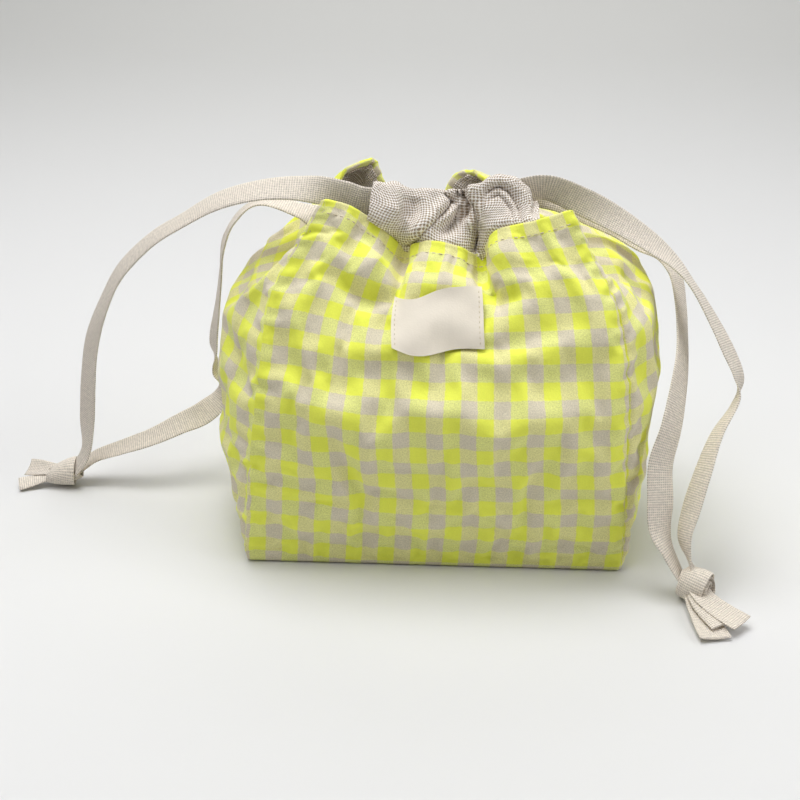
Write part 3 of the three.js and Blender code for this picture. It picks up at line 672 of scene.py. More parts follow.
def between(values, where, axis):
    """Values of a closed ring read smoothly between its columns (axis 0) or its rows (axis 1)."""
    count = values.shape[axis]
    first = np.floor(where).astype(int)
    f = where - first
    shares = {
        -1: -0.5 * f**3 + f**2 - 0.5 * f,
        0: 1.5 * f**3 - 2.5 * f**2 + 1,
        1: -1.5 * f**3 + 2 * f**2 + 0.5 * f,
        2: 0.5 * f**3 - 0.5 * f**2,
    }
    shape = [1] * values.ndim
    shape[axis] = -1
    out = 0
    for step, share in shares.items():
        index = np.clip(first + step, 0, count - 1) if axis else (first + step) % count
        out = out + np.take(values, index, axis) * share.reshape(shape)
    return out


def resampled(ring, columns, rows):
    """A closed ring read again with other numbers of columns and rows."""
    across = np.arange(columns) * ring.shape[0] / columns
    return between(between(ring, across, 0), np.linspace(0, ring.shape[1] - 1, rows), 1)


def drape(ring, held):
    """How the slack cloth settles: a coarse copy of the ring, cut too big, sags where it isn't held."""
    scene = bpy.context.scene
    coarse = resampled(ring, DRAPE_COLUMNS, DRAPE_ROWS)
    weights = np.clip(resampled(held, DRAPE_COLUMNS, DRAPE_ROWS), 0, 1)
    index = numbered(DRAPE_COLUMNS, DRAPE_ROWS)
    mesh = bpy.data.meshes.new("slack_cloth")
    mesh.from_pydata(coarse.reshape(-1, 3).tolist(), [], quads(np.vstack([index, index[:1]])))
    cloth = bpy.data.objects.new("slack_cloth", mesh)
    scene.collection.objects.link(cloth)
    group = cloth.vertex_groups.new(name="held")
    for k, weight in enumerate(weights.ravel()):
        group.add([k], float(weight), "REPLACE")
    modifier = cloth.modifiers.new("drape", "CLOTH")
    modifier.collision_settings.use_collision = False
    modifier.point_cache.frame_end = DRAPE_FRAMES
    settings = modifier.settings
    settings.vertex_group_mass = "held"
    settings.mass = 0.05
    settings.air_damping = 2
    settings.bending_stiffness = 10
    settings.shrink_min = -DRAPE_SLACK
    settings.effector_weights.gravity = 1.5
    settings.use_pressure = True
    settings.uniform_pressure_force = 2
    for step in range(1, DRAPE_FRAMES + 1):
        scene.frame_set(step)
    settled = np.zeros(coarse.size)
    cloth.evaluated_get(bpy.context.evaluated_depsgraph_get()).data.vertices.foreach_get("co", settled)
    bpy.data.objects.remove(cloth)
    bpy.data.meshes.remove(mesh)
    scene.frame_set(1)
    return resampled(settled.reshape(coarse.shape) - coarse, *ring.shape[:2])


def soft_corners(ring, off_seam, rim_softness, rows):
    """The ring with a soft turn at each corner seam, less at the base and where the rim stands stiff."""
    soft = np.clip(1.5 - 1.5 * off_seam / CORNER_REACH, 0, 1)
    soft = soft * ramp(((0, FOOT_SOFTNESS), (0.03, FOOT_SOFTNESS), (0.25, 1)), rows)
    soft = (soft * (1 + (rim_softness - 1) * ramp(((0, 0), (0.75, 0), (1, 1)), rows)))[..., None]
    for _ in range(CORNER_PASSES):
        ring = ring + CORNER_PULL * soft * (beside(ring) - ring)
    return ring


def turned_under(ring):
    """The ring with its foot turned in to the base in a small round."""
    flat = unit(ring_facing(ring) * (1, 1, 0))
    radius = FOOT_RADIUS * MM
    left = np.clip(radius - ring[..., 2], 0, radius)
    return ring - flat * (radius - np.sqrt(radius**2 - left**2))[..., None]


def holding(off_seam, rows):
    """How firmly the slack cloth is held: fast at the rim and foot, partly at the seams, hardly elsewhere."""
    held = ramp(((0, 0.34), (0.3, 0.3), (0.5, 0.22), (1, 0.22)), rows)
    held = np.maximum(held, 0.75 * np.exp(-((off_seam / 6) ** 2)))
    held = np.maximum(held, np.clip((rows - 0.95) / 0.04, 0, 1))
    return np.maximum(held, np.clip((0.05 - rows) / 0.03, 0, 1))


def inside_of(ring, off_seam, rows):
    """The ring for the lining, which rounds off the corners of the mouth so that it stays inside them."""
    pull = (np.clip(1.4 - off_seam / 9, 0, 1) * np.clip((rows - 0.6) / 0.2, 0, 1))[..., None]
    inner = ring
    for _ in range(MOUTH_PASSES):
        inner = inner + pull * (beside(inner) - inner)
    n = ring_facing(ring)
    return inner - n * np.clip(((inner - ring) * n).sum(2), 0, None)[..., None]


def sew_walls(sizes):
    """All four walls as one closed ring with soft corners, kept by wall."""
    rows = row_shares()
    plain, across, up, off, softness, bounds = [], [], [], [], [], {}
    for wall in ORDER:
        cut = WALLS[wall]
        s, v = np.meshgrid(np.linspace(0, 1, COLUMNS[wall])[:-1], rows, indexing="ij")
        start = sum(len(part) for part in plain)
        bounds[wall] = (start, start + len(s))
        plain.append(plain_wall(sizes, wall, s, v))
        across.append(s * cut.width)
        up.append(v * cut.height)
        off.append(np.minimum(s * cut.width, cut.width - s * cut.width))
        near_left = np.arange(len(s)) < len(s) / 2
        softness.append(np.where(near_left, RIM_SOFTNESS[cut.left], RIM_SOFTNESS[cut.right])[:, None])
    ring, a, b, off_seam, rim_softness = (np.concatenate(p) for p in (plain, across, up, off, softness))
    ring = turned_under(soft_corners(ring, off_seam, rim_softness, rows))
    relief = np.concatenate([wall_relief(wall, a[i:j], b[i:j]) for wall, (i, j) in bounds.items()])
    for wall, (i, _) in bounds.items():
        relief += seam_relief(WALLS[wall].left, i, b, rows)
    ring = ring + ring_facing(ring) * (relief * MM)[..., None]
    ring = ring + drape(ring, holding(off_seam, rows))
    ring[..., 2] = np.maximum(ring[..., 2], 0)
    normals, inside = ring_facing(ring), inside_of(ring, off_seam, rows)
    for wall, (i, j) in bounds.items():
        take = np.arange(i, j + 1) % len(ring)
        s, v = np.meshgrid(np.linspace(0, 1, COLUMNS[wall]), rows, indexing="ij")
        cloth = s * WALLS[wall].width, v * WALLS[wall].height
        SEWN[wall] = Sewn(ring[take], normals[take], inside[take], *cloth)


def wall_shape(sizes, wall):
    """The folded wall, made once so that lining, label and stitches follow the same cloth."""
    if wall not in SEWN:
        sew_walls(sizes)
    return SEWN[wall]


# One yellow and one beige stripe, and where the stripes start across each wall, in mm
CHECK_REPEAT = 20
STRIPE_START = {"front": -7.1, "right": 4, "back": -4, "left": -6}
# Where the middles of the yellow rows lie up a wall, as shares of its height, with one more below and above
ROW_SHARES = (-0.05, 0.04, 0.131, 0.216, 0.294, 0.376, 0.458, 0.536, 0.62, 0.708, 0.79, 0.89, 0.988, 1.083)
# How far the stripes of the front lean over its belly and how far its rows rise to the left, in mm
FRONT_LEAN = 6.5
FRONT_RISE = 5


def check_uv(wall, a, b):
    """Cloth coordinates in metres: a yellow stripe is centred on each whole repeat."""
    across, up = a / WALLS[wall].width, b / WALLS[wall].height
    stripe = a + STRIPE_START[wall]
    row = np.interp(up, ROW_SHARES, np.arange(-1, len(ROW_SHARES) - 1)) * CHECK_REPEAT
    if wall == "front":
        lean = FRONT_LEAN * ramp(((0, 0), (0.2, 0), (0.48, 1), (0.62, 0.9), (0.9, 0), (1, 0)), up)
        stripe = stripe + lean * (1 - 0.5 * across)
        row = row - FRONT_RISE * np.clip(1 - (across - 0.08) / 0.2, 0, 1)
    return np.stack([stripe, row], -1) * MM


# The rolled hem in metres: the radius of its turn and how far it runs down inside
HEM_RADIUS = 0.0013
HEM_DEPTH = 0.0032


def rolled_hem(grid, n, uv):
    """Adds the hem: the cloth turns over at the rim and runs a little way down inside."""
    up = unit(grid[:, -1] - grid[:, -2])
    top, edge = grid[:, -1], uv[:, -1]
    more, more_uv = [], []
    for angle in np.linspace(0, math.pi, 7)[1:]:
        more.append(top - n * HEM_RADIUS * (1 - math.cos(angle)) + up * HEM_RADIUS * math.sin(angle))
        more_uv.append(edge + np.array([0, HEM_RADIUS * angle]))
    for down in (0.5, 1.0):
        more.append(top - n * (2 * HEM_RADIUS + 0.0002 * down) - up * HEM_DEPTH * down)
        more_uv.append(edge + np.array([0, HEM_RADIUS * math.pi + HEM_DEPTH * down]))
    return np.concatenate([grid, np.stack(more, 1)], 1), np.concatenate([uv, np.stack(more_uv, 1)], 1)


def on_wall(sizes, wall, s, v):
    """Points and normals on the folded wall at shares across and up."""
    grid = wall_shape(sizes, wall).points
    i = s * (grid.shape[0] - 1)
    j = np.interp(v, row_shares(), np.arange(ROWS))
    i0 = np.clip(np.floor(i).astype(int), 0, grid.shape[0] - 2)
    j0 = np.clip(np.floor(j).astype(int), 0, grid.shape[1] - 2)
    fi, fj = (i - i0)[..., None], (j - j0)[..., None]

    def read(f):
        low = f[i0, j0] * (1 - fi) + f[i0 + 1, j0] * fi
        high = f[i0, j0 + 1] * (1 - fi) + f[i0 + 1, j0 + 1] * fi
        return low * (1 - fj) + high * fj

    return read(grid), unit(read(facing(grid)))


# Tapes

# Routes of the free legs: points in metres with the direction of the tape's width
LEFT_FRONT_LEG = (
    ((-0.0379, -0.0172, 0.208), (0, 0, 1)), ((-0.0446, -0.0172, 0.2088), (0.17, 0, 0.99)),
    ((-0.0549, -0.0168, 0.2119), (0.17, -0.01, 0.99)), ((-0.0795, -0.0161, 0.2149), (0.05, 0.71, 0.7)),
    ((-0.1019, -0.0147, 0.2132), (-0.01, 0.85, 0.53)), ((-0.1266, -0.0112, 0.2058), (-0.03, 0.91, 0.42)),
    ((-0.1512, -0.0063, 0.1913), (-0.02, 0.92, 0.39)), ((-0.1714, 0, 0.1774), (-0.07, 0.91, 0.41)),
    ((-0.1926, 0.0063, 0.1563), (-0.23, 0.89, 0.39)), ((-0.205, 0.0098, 0.1353), (-0.4, 0.86, 0.32)),
    ((-0.2173, 0.0133, 0.1071), (-0.62, 0.74, 0.26)), ((-0.2229, 0.0147, 0.0788), (-0.73, 0.67, 0.17)),
    ((-0.2274, 0.0168, 0.0494), (-0.76, 0.64, 0.13)), ((-0.2307, 0.0161, 0.0264), (-0.55, 0.82, 0.16)),
    ((-0.2394, 0.0161, 0.0127), (-0.41, 0.87, 0.26)),
)
LEFT_BACK_LEG = (
    ((-0.0379, 0.0142, 0.183), (0, 0, 1)), ((-0.0446, 0.0142, 0.183), (0.06, 0, 1)),
    ((-0.056, 0.0133, 0.184), (0.17, 0.04, 0.98)), ((-0.065, 0.0091, 0.1868), (0.35, 0.06, 0.94)),
    ((-0.0818, 0.0091, 0.1938), (0.14, 0.95, 0.28)), ((-0.1042, 0.0112, 0.1987), (0.27, 0.96, 0.02)),
    ((-0.121, 0.0203, 0.1877), (0.22, 0.89, 0.4)), ((-0.1344, 0.0343, 0.1638), (-0.08, 0.89, 0.45)),
    ((-0.1389, 0.042, 0.1414), (-0.22, 0.94, 0.27)), ((-0.1434, 0.0462, 0.1161), (-0.31, 0.94, 0.17)),
    ((-0.1478, 0.0483, 0.0907), (-0.43, 0.9, 0.08)), ((-0.1467, 0.0483, 0.0735), (0.12, 0.99, -0.05)),
    ((-0.1428, 0.0459, 0.0579), (-0.74, 0.67, -0.04)), ((-0.1546, 0.0378, 0.0469), (-0.63, 0.51, 0.59)),
    ((-0.1702, 0.0322, 0.0405), (-0.42, 0.78, 0.47)), ((-0.1893, 0.028, 0.0322), (-0.27, 0.9, 0.35)),
    ((-0.2094, 0.0266, 0.0249), (-0.15, 0.95, 0.27)), ((-0.2274, 0.0259, 0.0181), (-0.18, 0.96, 0.21)),
    ((-0.2407, 0.0246, 0.0077), (-0.25, 0.95, 0.2)),
)
RIGHT_FRONT_LEG = (
    ((0.0183, 0.0018, 0.2025), (0, 0.3, 0.95)), ((0.024, 0.0012, 0.2035), (-0.21, 0.2, 0.96)),
    ((0.0314, -0.001, 0.2065), (-0.34, 0, 0.94)), ((0.0426, -0.0044, 0.2108), (-0.23, -0.2, 0.95)),
    ((0.0594, -0.0063, 0.2147), (0.15, -0.25, 0.95)), ((0.0795, -0.0049, 0.207), (0.34, 0.1, 0.93)),
    ((0.103, -0.0049, 0.1947), (0.43, 0.58, 0.69)), ((0.1238, -0.007, 0.1815), (0.38, 0.84, 0.38)),
    ((0.1355, -0.0098, 0.1725), (0.39, 0.92, 0.01)), ((0.1456, -0.0161, 0.1615), (0.37, 0.9, -0.22)),
    ((0.1568, -0.0252, 0.1451), (0.47, 0.86, -0.18)), ((0.1663, -0.0343, 0.1291), (0.56, 0.81, -0.16)),
    ((0.1725, -0.042, 0.115), (0.52, 0.77, -0.36)), ((0.1708, -0.049, 0.1039), (-0.06, 0.83, -0.55)),
    ((0.1602, -0.0602, 0.0888), (-0.26, 0.85, -0.45)), ((0.1523, -0.0721, 0.0707), (-0.42, 0.85, -0.32)),
    ((0.1456, -0.0819, 0.0503), (-0.49, 0.84, -0.25)), ((0.1422, -0.0889, 0.0347), (-0.38, 0.86, -0.34)),
    ((0.1492, -0.0948, 0.0136), (0.44, 0.89, -0.1)),
)
RIGHT_BACK_LEG = (
    ((0.0183, 0.0118, 0.191), (0, 0, 1)), ((0.024, 0.0118, 0.191), (-0.31, 0.04, 0.95)),
    ((0.0336, 0.0098, 0.196), (-0.5, 0.09, 0.86)), ((0.0437, 0.0084, 0.2028), (-0.41, 0.03, 0.91)),
    ((0.056, 0.0084, 0.2062), (-0.02, 0, 1)), ((0.0694, 0.0105, 0.2034), (0.21, 0.47, 0.86)),
    ((0.0885, 0.0182, 0.1928), (0.27, 0.53, 0.81)), ((0.1053, 0.0217, 0.1842), (0.35, 0.65, 0.67)),
    ((0.1198, 0.0203, 0.1747), (0.4, 0.83, 0.39)), ((0.1322, 0.0161, 0.1683), (0.48, 0.87, 0.04)),
    ((0.14, 0.0098, 0.1587), (0.59, 0.75, -0.31)), ((0.1424, -0.0007, 0.147), (0.54, 0.62, -0.56)),
    ((0.1428, -0.016, 0.1334), (0.53, 0.53, -0.66)), ((0.1414, -0.0333, 0.1214), (0.57, 0.46, -0.68)),
    ((0.1377, -0.0506, 0.1073), (0.64, 0.42, -0.64)), ((0.1332, -0.0645, 0.0915), (0.77, 0.38, -0.51)),
    ((0.128, -0.0728, 0.0737), (0.93, 0.29, -0.24)), ((0.1282, -0.0812, 0.0556), (0.95, 0.29, -0.1)),
    ((0.1288, -0.0868, 0.0396), (0.85, 0.52, -0.03)), ((0.1333, -0.091, 0.029), (0.51, 0.86, -0.02)),
    ((0.143, -0.0957, 0.0111), (0.35, 0.93, -0.05)),
)
# The stretches inside the casings, with the hidden turn from front to back
UPRIGHT = (0, 0, 1)
LEANING = (0, 0.3, 1)
LEFT_LOOP = (
    ((-0.0376, -0.0172, 0.2075), UPRIGHT), ((-0.032, -0.0162, 0.2065), (0, 0.1, 1)),
    ((-0.026, -0.0135, 0.205), (0, 0.2, 1)), ((-0.018, -0.0075, 0.202), LEANING),
    ((-0.008, -0.0035, 0.2), LEANING), ((0.004, -0.0025, 0.199), LEANING),
    ((0.0135, -0.0025, 0.199), LEANING), ((0.0185, -0.004, 0.2), LEANING),
    ((0.024, -0.0105, 0.202), (0, 0.1, 1)), ((0.03, -0.0145, 0.203), UPRIGHT),
    ((0.037, -0.0155, 0.2024), UPRIGHT), ((0.0493, -0.013, 0.1928), UPRIGHT),
    ((0.0582, -0.0063, 0.1836), UPRIGHT), ((0.061, -0.0007, 0.1806), UPRIGHT),
    ((0.0582, 0.0053, 0.1796), UPRIGHT), ((0.0482, 0.0112, 0.1804), UPRIGHT),
    ((0.0358, 0.014, 0.1825), UPRIGHT), ((0.0263, 0.0142, 0.183), UPRIGHT),
    ((0, 0.0142, 0.183), UPRIGHT), ((-0.0376, 0.0142, 0.183), UPRIGHT),
)
RIGHT_LOOP = (
    ((0.018, 0.0018, 0.2025), LEANING), ((0.0135, 0.003, 0.2005), LEANING),
    ((0.008, 0.0038, 0.199), LEANING), ((-0.002, 0.0038, 0.199), LEANING),
    ((-0.014, 0.0012, 0.2), LEANING), ((-0.024, -0.0028, 0.201), LEANING),
    ((-0.032, -0.0075, 0.203), (0, 0.2, 1)), ((-0.0376, -0.0105, 0.2045), (0, 0.1, 1)),
    ((-0.0426, -0.0122, 0.2045), UPRIGHT), ((-0.0493, -0.0108, 0.2013), UPRIGHT),
    ((-0.0521, -0.007, 0.1981), UPRIGHT), ((-0.0532, -0.0014, 0.1962), UPRIGHT),
    ((-0.0521, 0.0042, 0.1943), UPRIGHT), ((-0.0493, 0.0091, 0.1923), UPRIGHT),
    ((-0.0426, 0.0118, 0.191), UPRIGHT), ((-0.0376, 0.0118, 0.191), UPRIGHT),
    ((0, 0.0118, 0.191), UPRIGHT), ((0.018, 0.0118, 0.191), UPRIGHT),
)
# Inside the casings the tape is crumpled to this share of its width
CRUMPLED = 0.5
# Across a tape from edge to edge and back, as shares of half its width and half its thickness
TAPE_FACE = (0.94, 0.7, 0.35, 0, -0.35, -0.7, -0.94)
TAPE_SECTION = (
    (1, 0.35), *((x, 1.0) for x in TAPE_FACE), (-1, 0.35),
    (-1, -0.35), *((x, -1.0) for x in reversed(TAPE_FACE)), (1, -0.35),
)
# How far the edges of a tape ripple, in metres, and how many ripples there are in a metre
RIPPLE = 0.0006
RIPPLES = 28


def tape_frames(stops, per):
    """Centres, width and thickness directions along a tape's route."""
    path = smooth_line([p for p, _ in stops], per)
    turn = smooth_line(unit(np.array([w for _, w in stops], float)), per)
    along = unit(np.gradient(path, axis=0))
    wide = unit(turn - along * (turn * along).sum(1, keepdims=True))
    return path, wide, np.cross(along, wide)


def tube_faces(index):
    """Faces round a row of rings of point numbers, with both ends closed."""
    around = np.concatenate([index, index[:, :1]], 1)
    sides = [[a, d, c, b] for a, b, c, d in quads(around)]
    return [*sides, index[0, ::-1].tolist(), index[-1].tolist()]


def put_tape(name, stops, widths, thickness, per, cup=0.0, seed=0.0):
    """A flat woven tape along a route; widths are (share of the run, width) stops."""
    path, wide, thick = tape_frames(stops, per)
    run = run_along(path)
    width = ramp(widths, run / run[-1])
    rings, uvs = [], []
    for x, t in TAPE_SECTION:
        ripple = np.array([noise.noise(Vector((r * RIPPLES, x * 0.9, seed))) for r in run]) * RIPPLE
        lift = t * thickness / 2 + (cup * (x * x - 0.4) + ripple * abs(x))
        rings.append(path + wide * (x * width / 2)[:, None] + thick * lift[:, None])
        uvs.append(np.stack([x * width / 2, run], -1))
    grid, uv = np.stack(rings, 1), np.stack(uvs, 1)
    faces = tube_faces(numbered(*grid.shape[:2]))
    return put(name, grid.reshape(-1, 3), faces, uv.reshape(-1, 2), "woven_tape"), path, run[-1]


def free_leg(name, node, body, stops, sizes, cup, seed):
    """One free leg of a drawstring, from the casing's mouth to its knot, where it narrows."""
    width = sizes.tape_width
    widths = ((0, width), (0.86, width), (0.96, 0.82 * width), (1, 0.72 * width))
    piece, path, length = put_tape(name, stops, widths, sizes.tape_thickness, 12, cup, seed)
    dress(piece, body, node)


# Operators

# The camera: lens and sensor in mm, place in metres and turn in degrees
LENS = 58.5
SENSOR = 36
CAMERA_PLACE = (0.0149, -0.7294, 0.4171)
CAMERA_TURN = (65, 0, 3)
# The paper sweep in metres: half its width, its front edge, where it starts to bend up, its bend and its top
SWEEP_HALF = 4.0
SWEEP_FRONT = -2.0
SWEEP_BACK = 1.6
SWEEP_BEND = 1.2
SWEEP_TOP = 4.0
# The faint light from all round
AROUND_COLOUR = linear("#F4F5F6")
AROUND_STRENGTH = 0.08
# Each lamp: name, place, target and side in metres, and watts
LAMPS = (
    ("top_softbox", (-0.22, 0.12, 1.7), (0.0, 0.0, 0.0), 1.1, 24.5),
    ("key_softbox", (-0.7, -0.75, 1.5), (0.0, 0.0, 0.1), 0.8, 6.0),
    ("sweep_softbox", (0.0, 2.8, 2.0), (0.0, 2.8, 0.0), 2.6, 39.0),
    ("right_softbox", (1.2, -0.4, 0.9), (0.0, 0.0, 0.1), 0.9, 7.0),
)


class BAG_OT_stage(Operator):
    """Adds the camera, the soft lights and the pale sweep"""

    bl_idname = "bag.stage"
    bl_label = "Camera and stage"

    def execute(self, context):
        scene = context.scene
        scene.view_settings.view_transform = "Standard"
        camera = bpy.data.objects.new("camera", bpy.data.cameras.new("camera"))
        camera.data.lens = LENS
        camera.data.sensor_width = SENSOR
        camera.location = CAMERA_PLACE
        camera.rotation_euler = [math.radians(angle) for angle in CAMERA_TURN]
        scene.collection.objects.link(camera)
        scene.camera = camera

        profile = [(SWEEP_FRONT, 0.0), (SWEEP_BACK, 0.0)]
        for angle in np.linspace(0, math.pi / 2, 25):
            profile.append((SWEEP_BACK + SWEEP_BEND * math.sin(angle), SWEEP_BEND * (1 - math.cos(angle))))
        profile.append((SWEEP_BACK + SWEEP_BEND, SWEEP_TOP))
        grid = np.array([[(x, y, z) for y, z in profile] for x in (-SWEEP_HALF, 0.0, SWEEP_HALF)])
        faces = quads(numbered(*grid.shape[:2]))
        sweep = put("sweep", grid.reshape(-1, 3), faces, grid[..., :2].reshape(-1, 2), "paper_sweep")

        world = bpy.data.worlds.new("studio")
        world.use_nodes = True
        background = world.node_tree.nodes["Background"]
        background.inputs[0].default_value = AROUND_COLOUR
        background.inputs[1].default_value = AROUND_STRENGTH
        scene.world = world
        for name, place, target, side, watts in LAMPS:
            lamp = bpy.data.lights.new(name, "AREA")
            lamp.energy = watts
            lamp.size = side
            made = bpy.data.objects.new(name, lamp)
            made.location = place
            made.rotation_euler = (Vector(target) - Vector(place)).to_track_quat("-Z", "Y").to_euler()
            scene.collection.objects.link(made)
        return {"FINISHED"}


# Each knot: its name, centre in mm, heading and pitch, its wraps and its tails.
# Each wrap: its shift and skew along the knot and half its breadth and height in mm, its width as a share of
# the tape's, and its flare.
# Each tail: its route in mm, the direction of its width, and its widths at root and tip as shares
KNOTS = (
    (
        "left_knot", (-248.5, 19.5, 9.0), 0.12, 0.16,
        (
            (-0.5, 2.2, 7.6, 6.6, 1.2, 0.27), (6.5, -1.5, 6.0, 5.4, 0.6, 0.05),
            (2.0, 0.6, 3.9, 3.5, 0.95, 0.05), (2.0, 0.0, 1.7, 1.5, 0.9, 0.0),
        ),
        (
            (
                ((-250, 19, 7.5), (-260, 18.2, 6.2), (-268, 16, 4.4), (-276.6, 13, 3.4)),
                (0.25, 0.95, 0.15), 0.6, 0.85,
            ),
            (
                ((-250, 20, 9.5), (-260, 23, 9.4), (-267, 26, 8.4), (-274.5, 29, 7.0)),
                (-0.3, 0.9, 0.35), 0.6, 0.8,
            ),
        ),
    ),
    (
        "right_knot", (149, -98, 11.0), -0.55, 0.0,
        (
            (0, 1.5, 8.4, 9.4, 0.95, 0.04), (1.5, -1.5, 6.6, 7.2, 1.02, 0.0),
            (0.8, 0.8, 4.3, 4.7, 0.95, 0.0), (0.6, 0.0, 1.9, 2.1, 0.9, 0.0),
        ),
        (
            (
                ((149, -104, 6.6), (150, -114, 5.2), (152.5, -126, 3.6), (155, -138, 2.8)),
                (0.97, 0.15, -0.05), 0.85, 1.12,
            ),
            (
                ((150, -106, 9.6), (152, -114, 8.0), (156, -121, 6.4), (160.5, -129, 5.2)),
                (0.93, 0.36, 0.0), 0.8, 0.95,
            ),
            (
                ((150, -103, 11.4), (153, -110, 9.8), (161, -119, 7.6), (170.5, -128.5, 6.2)),
                (0.72, 0.69, 0.1), 0.8, 0.98,
            ),
        ),
    ),
)
# How far a wrap and a tail cup across their width, in metres
WRAP_CUP = -0.0012
TAIL_CUP = 0.001


class BAG_OT_knots(Operator):
    """Ties the tape ends into knots with short tails"""

    bl_idname = "bag.knots"
    bl_label = "Knots"

    def execute(self, context):
        sizes = context.scene.bag_sizes
        width, thickness = sizes.tape_width, sizes.tape_thickness
        for name, centre, heading, pitch, wraps, tails in KNOTS:
            turn = Matrix.Rotation(heading, 3, "Z") @ Matrix.Rotation(-pitch, 3, "Y")
            pieces = []
            for k, (shift, skew, broad, tall, share, flare) in enumerate(wraps):
                stops = []
                for angle in np.linspace(0, 2 * math.pi, 17) + 0.4 * k:
                    c, s = math.cos(angle), math.sin(angle)
                    place = turn @ Vector((shift + skew * s, broad * c, tall * s)) + Vector(centre)
                    stops.append((place * MM, turn @ Vector((1, flare * c, flare * s))))
                widths = ((0, share * width), (1, share * width))
                pieces.append(put_tape(f"{name}_wrap_{k}", stops, widths, thickness, 4, WRAP_CUP, k)[0])
            for k, (route, wide, root, tip) in enumerate(tails):
                stops = [(Vector(p) * MM, wide) for p in route]
                widths = ((0, root * width), (1, tip * width))
                cup = -TAIL_CUP if k % 2 else TAIL_CUP
                pieces.append(put_tape(f"{name}_tail_{k}", stops, widths, thickness, 10, cup, 5 + k)[0])
            body = name.replace("knot", "drawstring")
            dress(joined(pieces, name), body, f"{body}_knot")
        return {"FINISHED"}


# How far a free leg cups across its width, in metres
LEG_CUP = 0.0004


class BAG_OT_drawstrings(Operator):
    """Lays the two drawstring tapes through the casings and out to their knots"""

    bl_idname = "bag.drawstrings"
    bl_label = "Drawstrings"

    def execute(self, context):
        sizes = context.scene.bag_sizes
        narrow = CRUMPLED * sizes.tape_width
        for side, front, back, loop in (
            ("left", LEFT_FRONT_LEG, LEFT_BACK_LEG, LEFT_LOOP),
            ("right", RIGHT_FRONT_LEG, RIGHT_BACK_LEG, RIGHT_LOOP),
        ):
            body = f"{side}_drawstring"
            free_leg(f"{side}_front_tape", f"{body}_front_leg", body, front, sizes, LEG_CUP, 1.0)
            free_leg(f"{side}_back_tape", f"{body}_back_leg", body, back, sizes, -LEG_CUP, 2.0)
            widths = ((0, narrow), (1, narrow))
            inside = put_tape(f"{side}_inner_tape", loop, widths, sizes.tape_thickness, 6)[0]
            dress(inside, body, f"{body}_loop")
        return {"FINISHED"}


# Rings of the base from its edge to its middle, as shares, and its cloth measured against its size
BASE_RINGS = (0.998, 0.96, 0.85, 0.65, 0.4, 0.15, 0.01)
BASE_CLOTH = 1.04


class BAG_OT_outer(Operator):
    """Sews the checked outer walls and base"""

    bl_idname = "bag.outer"
    bl_label = "Checked outer"

    def execute(self, context):
        sizes = context.scene.bag_sizes
        feet = []
        for wall in ORDER:
            sewn = wall_shape(sizes, wall)
            feet.append(sewn.points[:-1, 0])
            grid, uv = rolled_hem(sewn.points, sewn.normals[:, -1], check_uv(wall, sewn.across, sewn.up))
            piece = put_sheet(f"{wall}_wall", grid, uv, "checked_cotton", sizes.outer_cloth)
            dress(piece, "bag", f"outer_{NODES[wall]}")
        loop = np.vstack([*feet, feet[0][:1]])
        grid = loop[:, None, :] * np.array(BASE_RINGS)[None, :, None]
        grid[..., 2] = sizes.outer_cloth
        piece = put_sheet("base_wall", grid, grid[..., :2] * BASE_CLOTH, "checked_cotton", sizes.outer_cloth)
        dress(piece, "bag", "outer_base_panel")
        return {"FINISHED"}


# The lining in metres: how far it hangs behind the outer cloth, how much farther under the hem, its lowest
# edge, the height of its base, and how much smaller that is than the outer one
LINING_GAP = 0.0006
LINING_STEP = 0.0016
LINING_LOW = 0.0016
LINING_BASE = 0.0026
LINING_EASE = 0.004


class BAG_OT_lining(Operator):
    """Hangs the dotted lining inside the outer walls"""

    bl_idname = "bag.lining"
    bl_label = "Dotted lining"

    def execute(self, context):
        sizes = context.scene.bag_sizes
        for wall in ORDER:
            sewn = wall_shape(sizes, wall)
            under_hem = np.clip((sewn.up - WALLS[wall].height + 12) / 10, 0, 1)
            behind = sizes.outer_cloth + LINING_GAP + LINING_STEP * under_hem
            inner = sewn.inside - sewn.normals * behind[..., None]
            inner[:, 0, 2] = np.maximum(inner[:, 0, 2], LINING_LOW)
            uv = np.stack([sewn.across, sewn.up], -1) * MM
            # Every second row is enough, and the last two would show over the rim
            grid, uv = inner[:, :-2:2], uv[:, :-2:2]
            piece = put_sheet(f"{wall}_lining", grid, uv, "dotted_linen", sizes.lining_cloth)
            dress(piece, "bag", f"lining_{NODES[wall]}")
        x = np.linspace(-0.5, 0.5, 33) * (sizes.base_width - LINING_EASE)
        y = np.linspace(-0.5, 0.5, 21) * (sizes.base_depth - LINING_EASE)
        px, py = np.meshgrid(x, y, indexing="ij")
        grid = np.stack([px, py, np.full(px.shape, LINING_BASE)], -1)
        piece = put_sheet("base_lining", grid, grid[..., :2], "dotted_linen", sizes.lining_cloth)
        dress(piece, "bag", "lining_base_panel")
        return {"FINISHED"}


# Top edge of each casing: x, z and y in mm, and how far its face lies back like a roof
FRONT_CREST = (
    (-39, 218.8, -17.2, 0), (-34, 218.6, -16.5, 0), (-28, 216.4, -14.5, 0), (-22.8, 214.4, -13, 0),
    (-11.5, 214, -10, 0.3), (-3.6, 213.2, -9.5, 1), (4.4, 212.3, -8.5, 1.2), (11.2, 212.9, -5, 1.2),
    (15.8, 214, -8, 1.2), (18, 215.6, -11, 1.2), (23.5, 217, -11.5, 1.2), (27.9, 219.4, -10.5, 1.2),
    (33.4, 220.4, -10, 1.2), (42.3, 219, -10, 1.2), (50.3, 214.4, -10.5, 1.2), (52.6, 206.4, -12.5, 1.2),
)
BACK_CREST = ((-40, 201, 15, 0), (-20, 202.5, 13, 0), (0, 201.5, 13, 0), (20, 202, 15, 0))
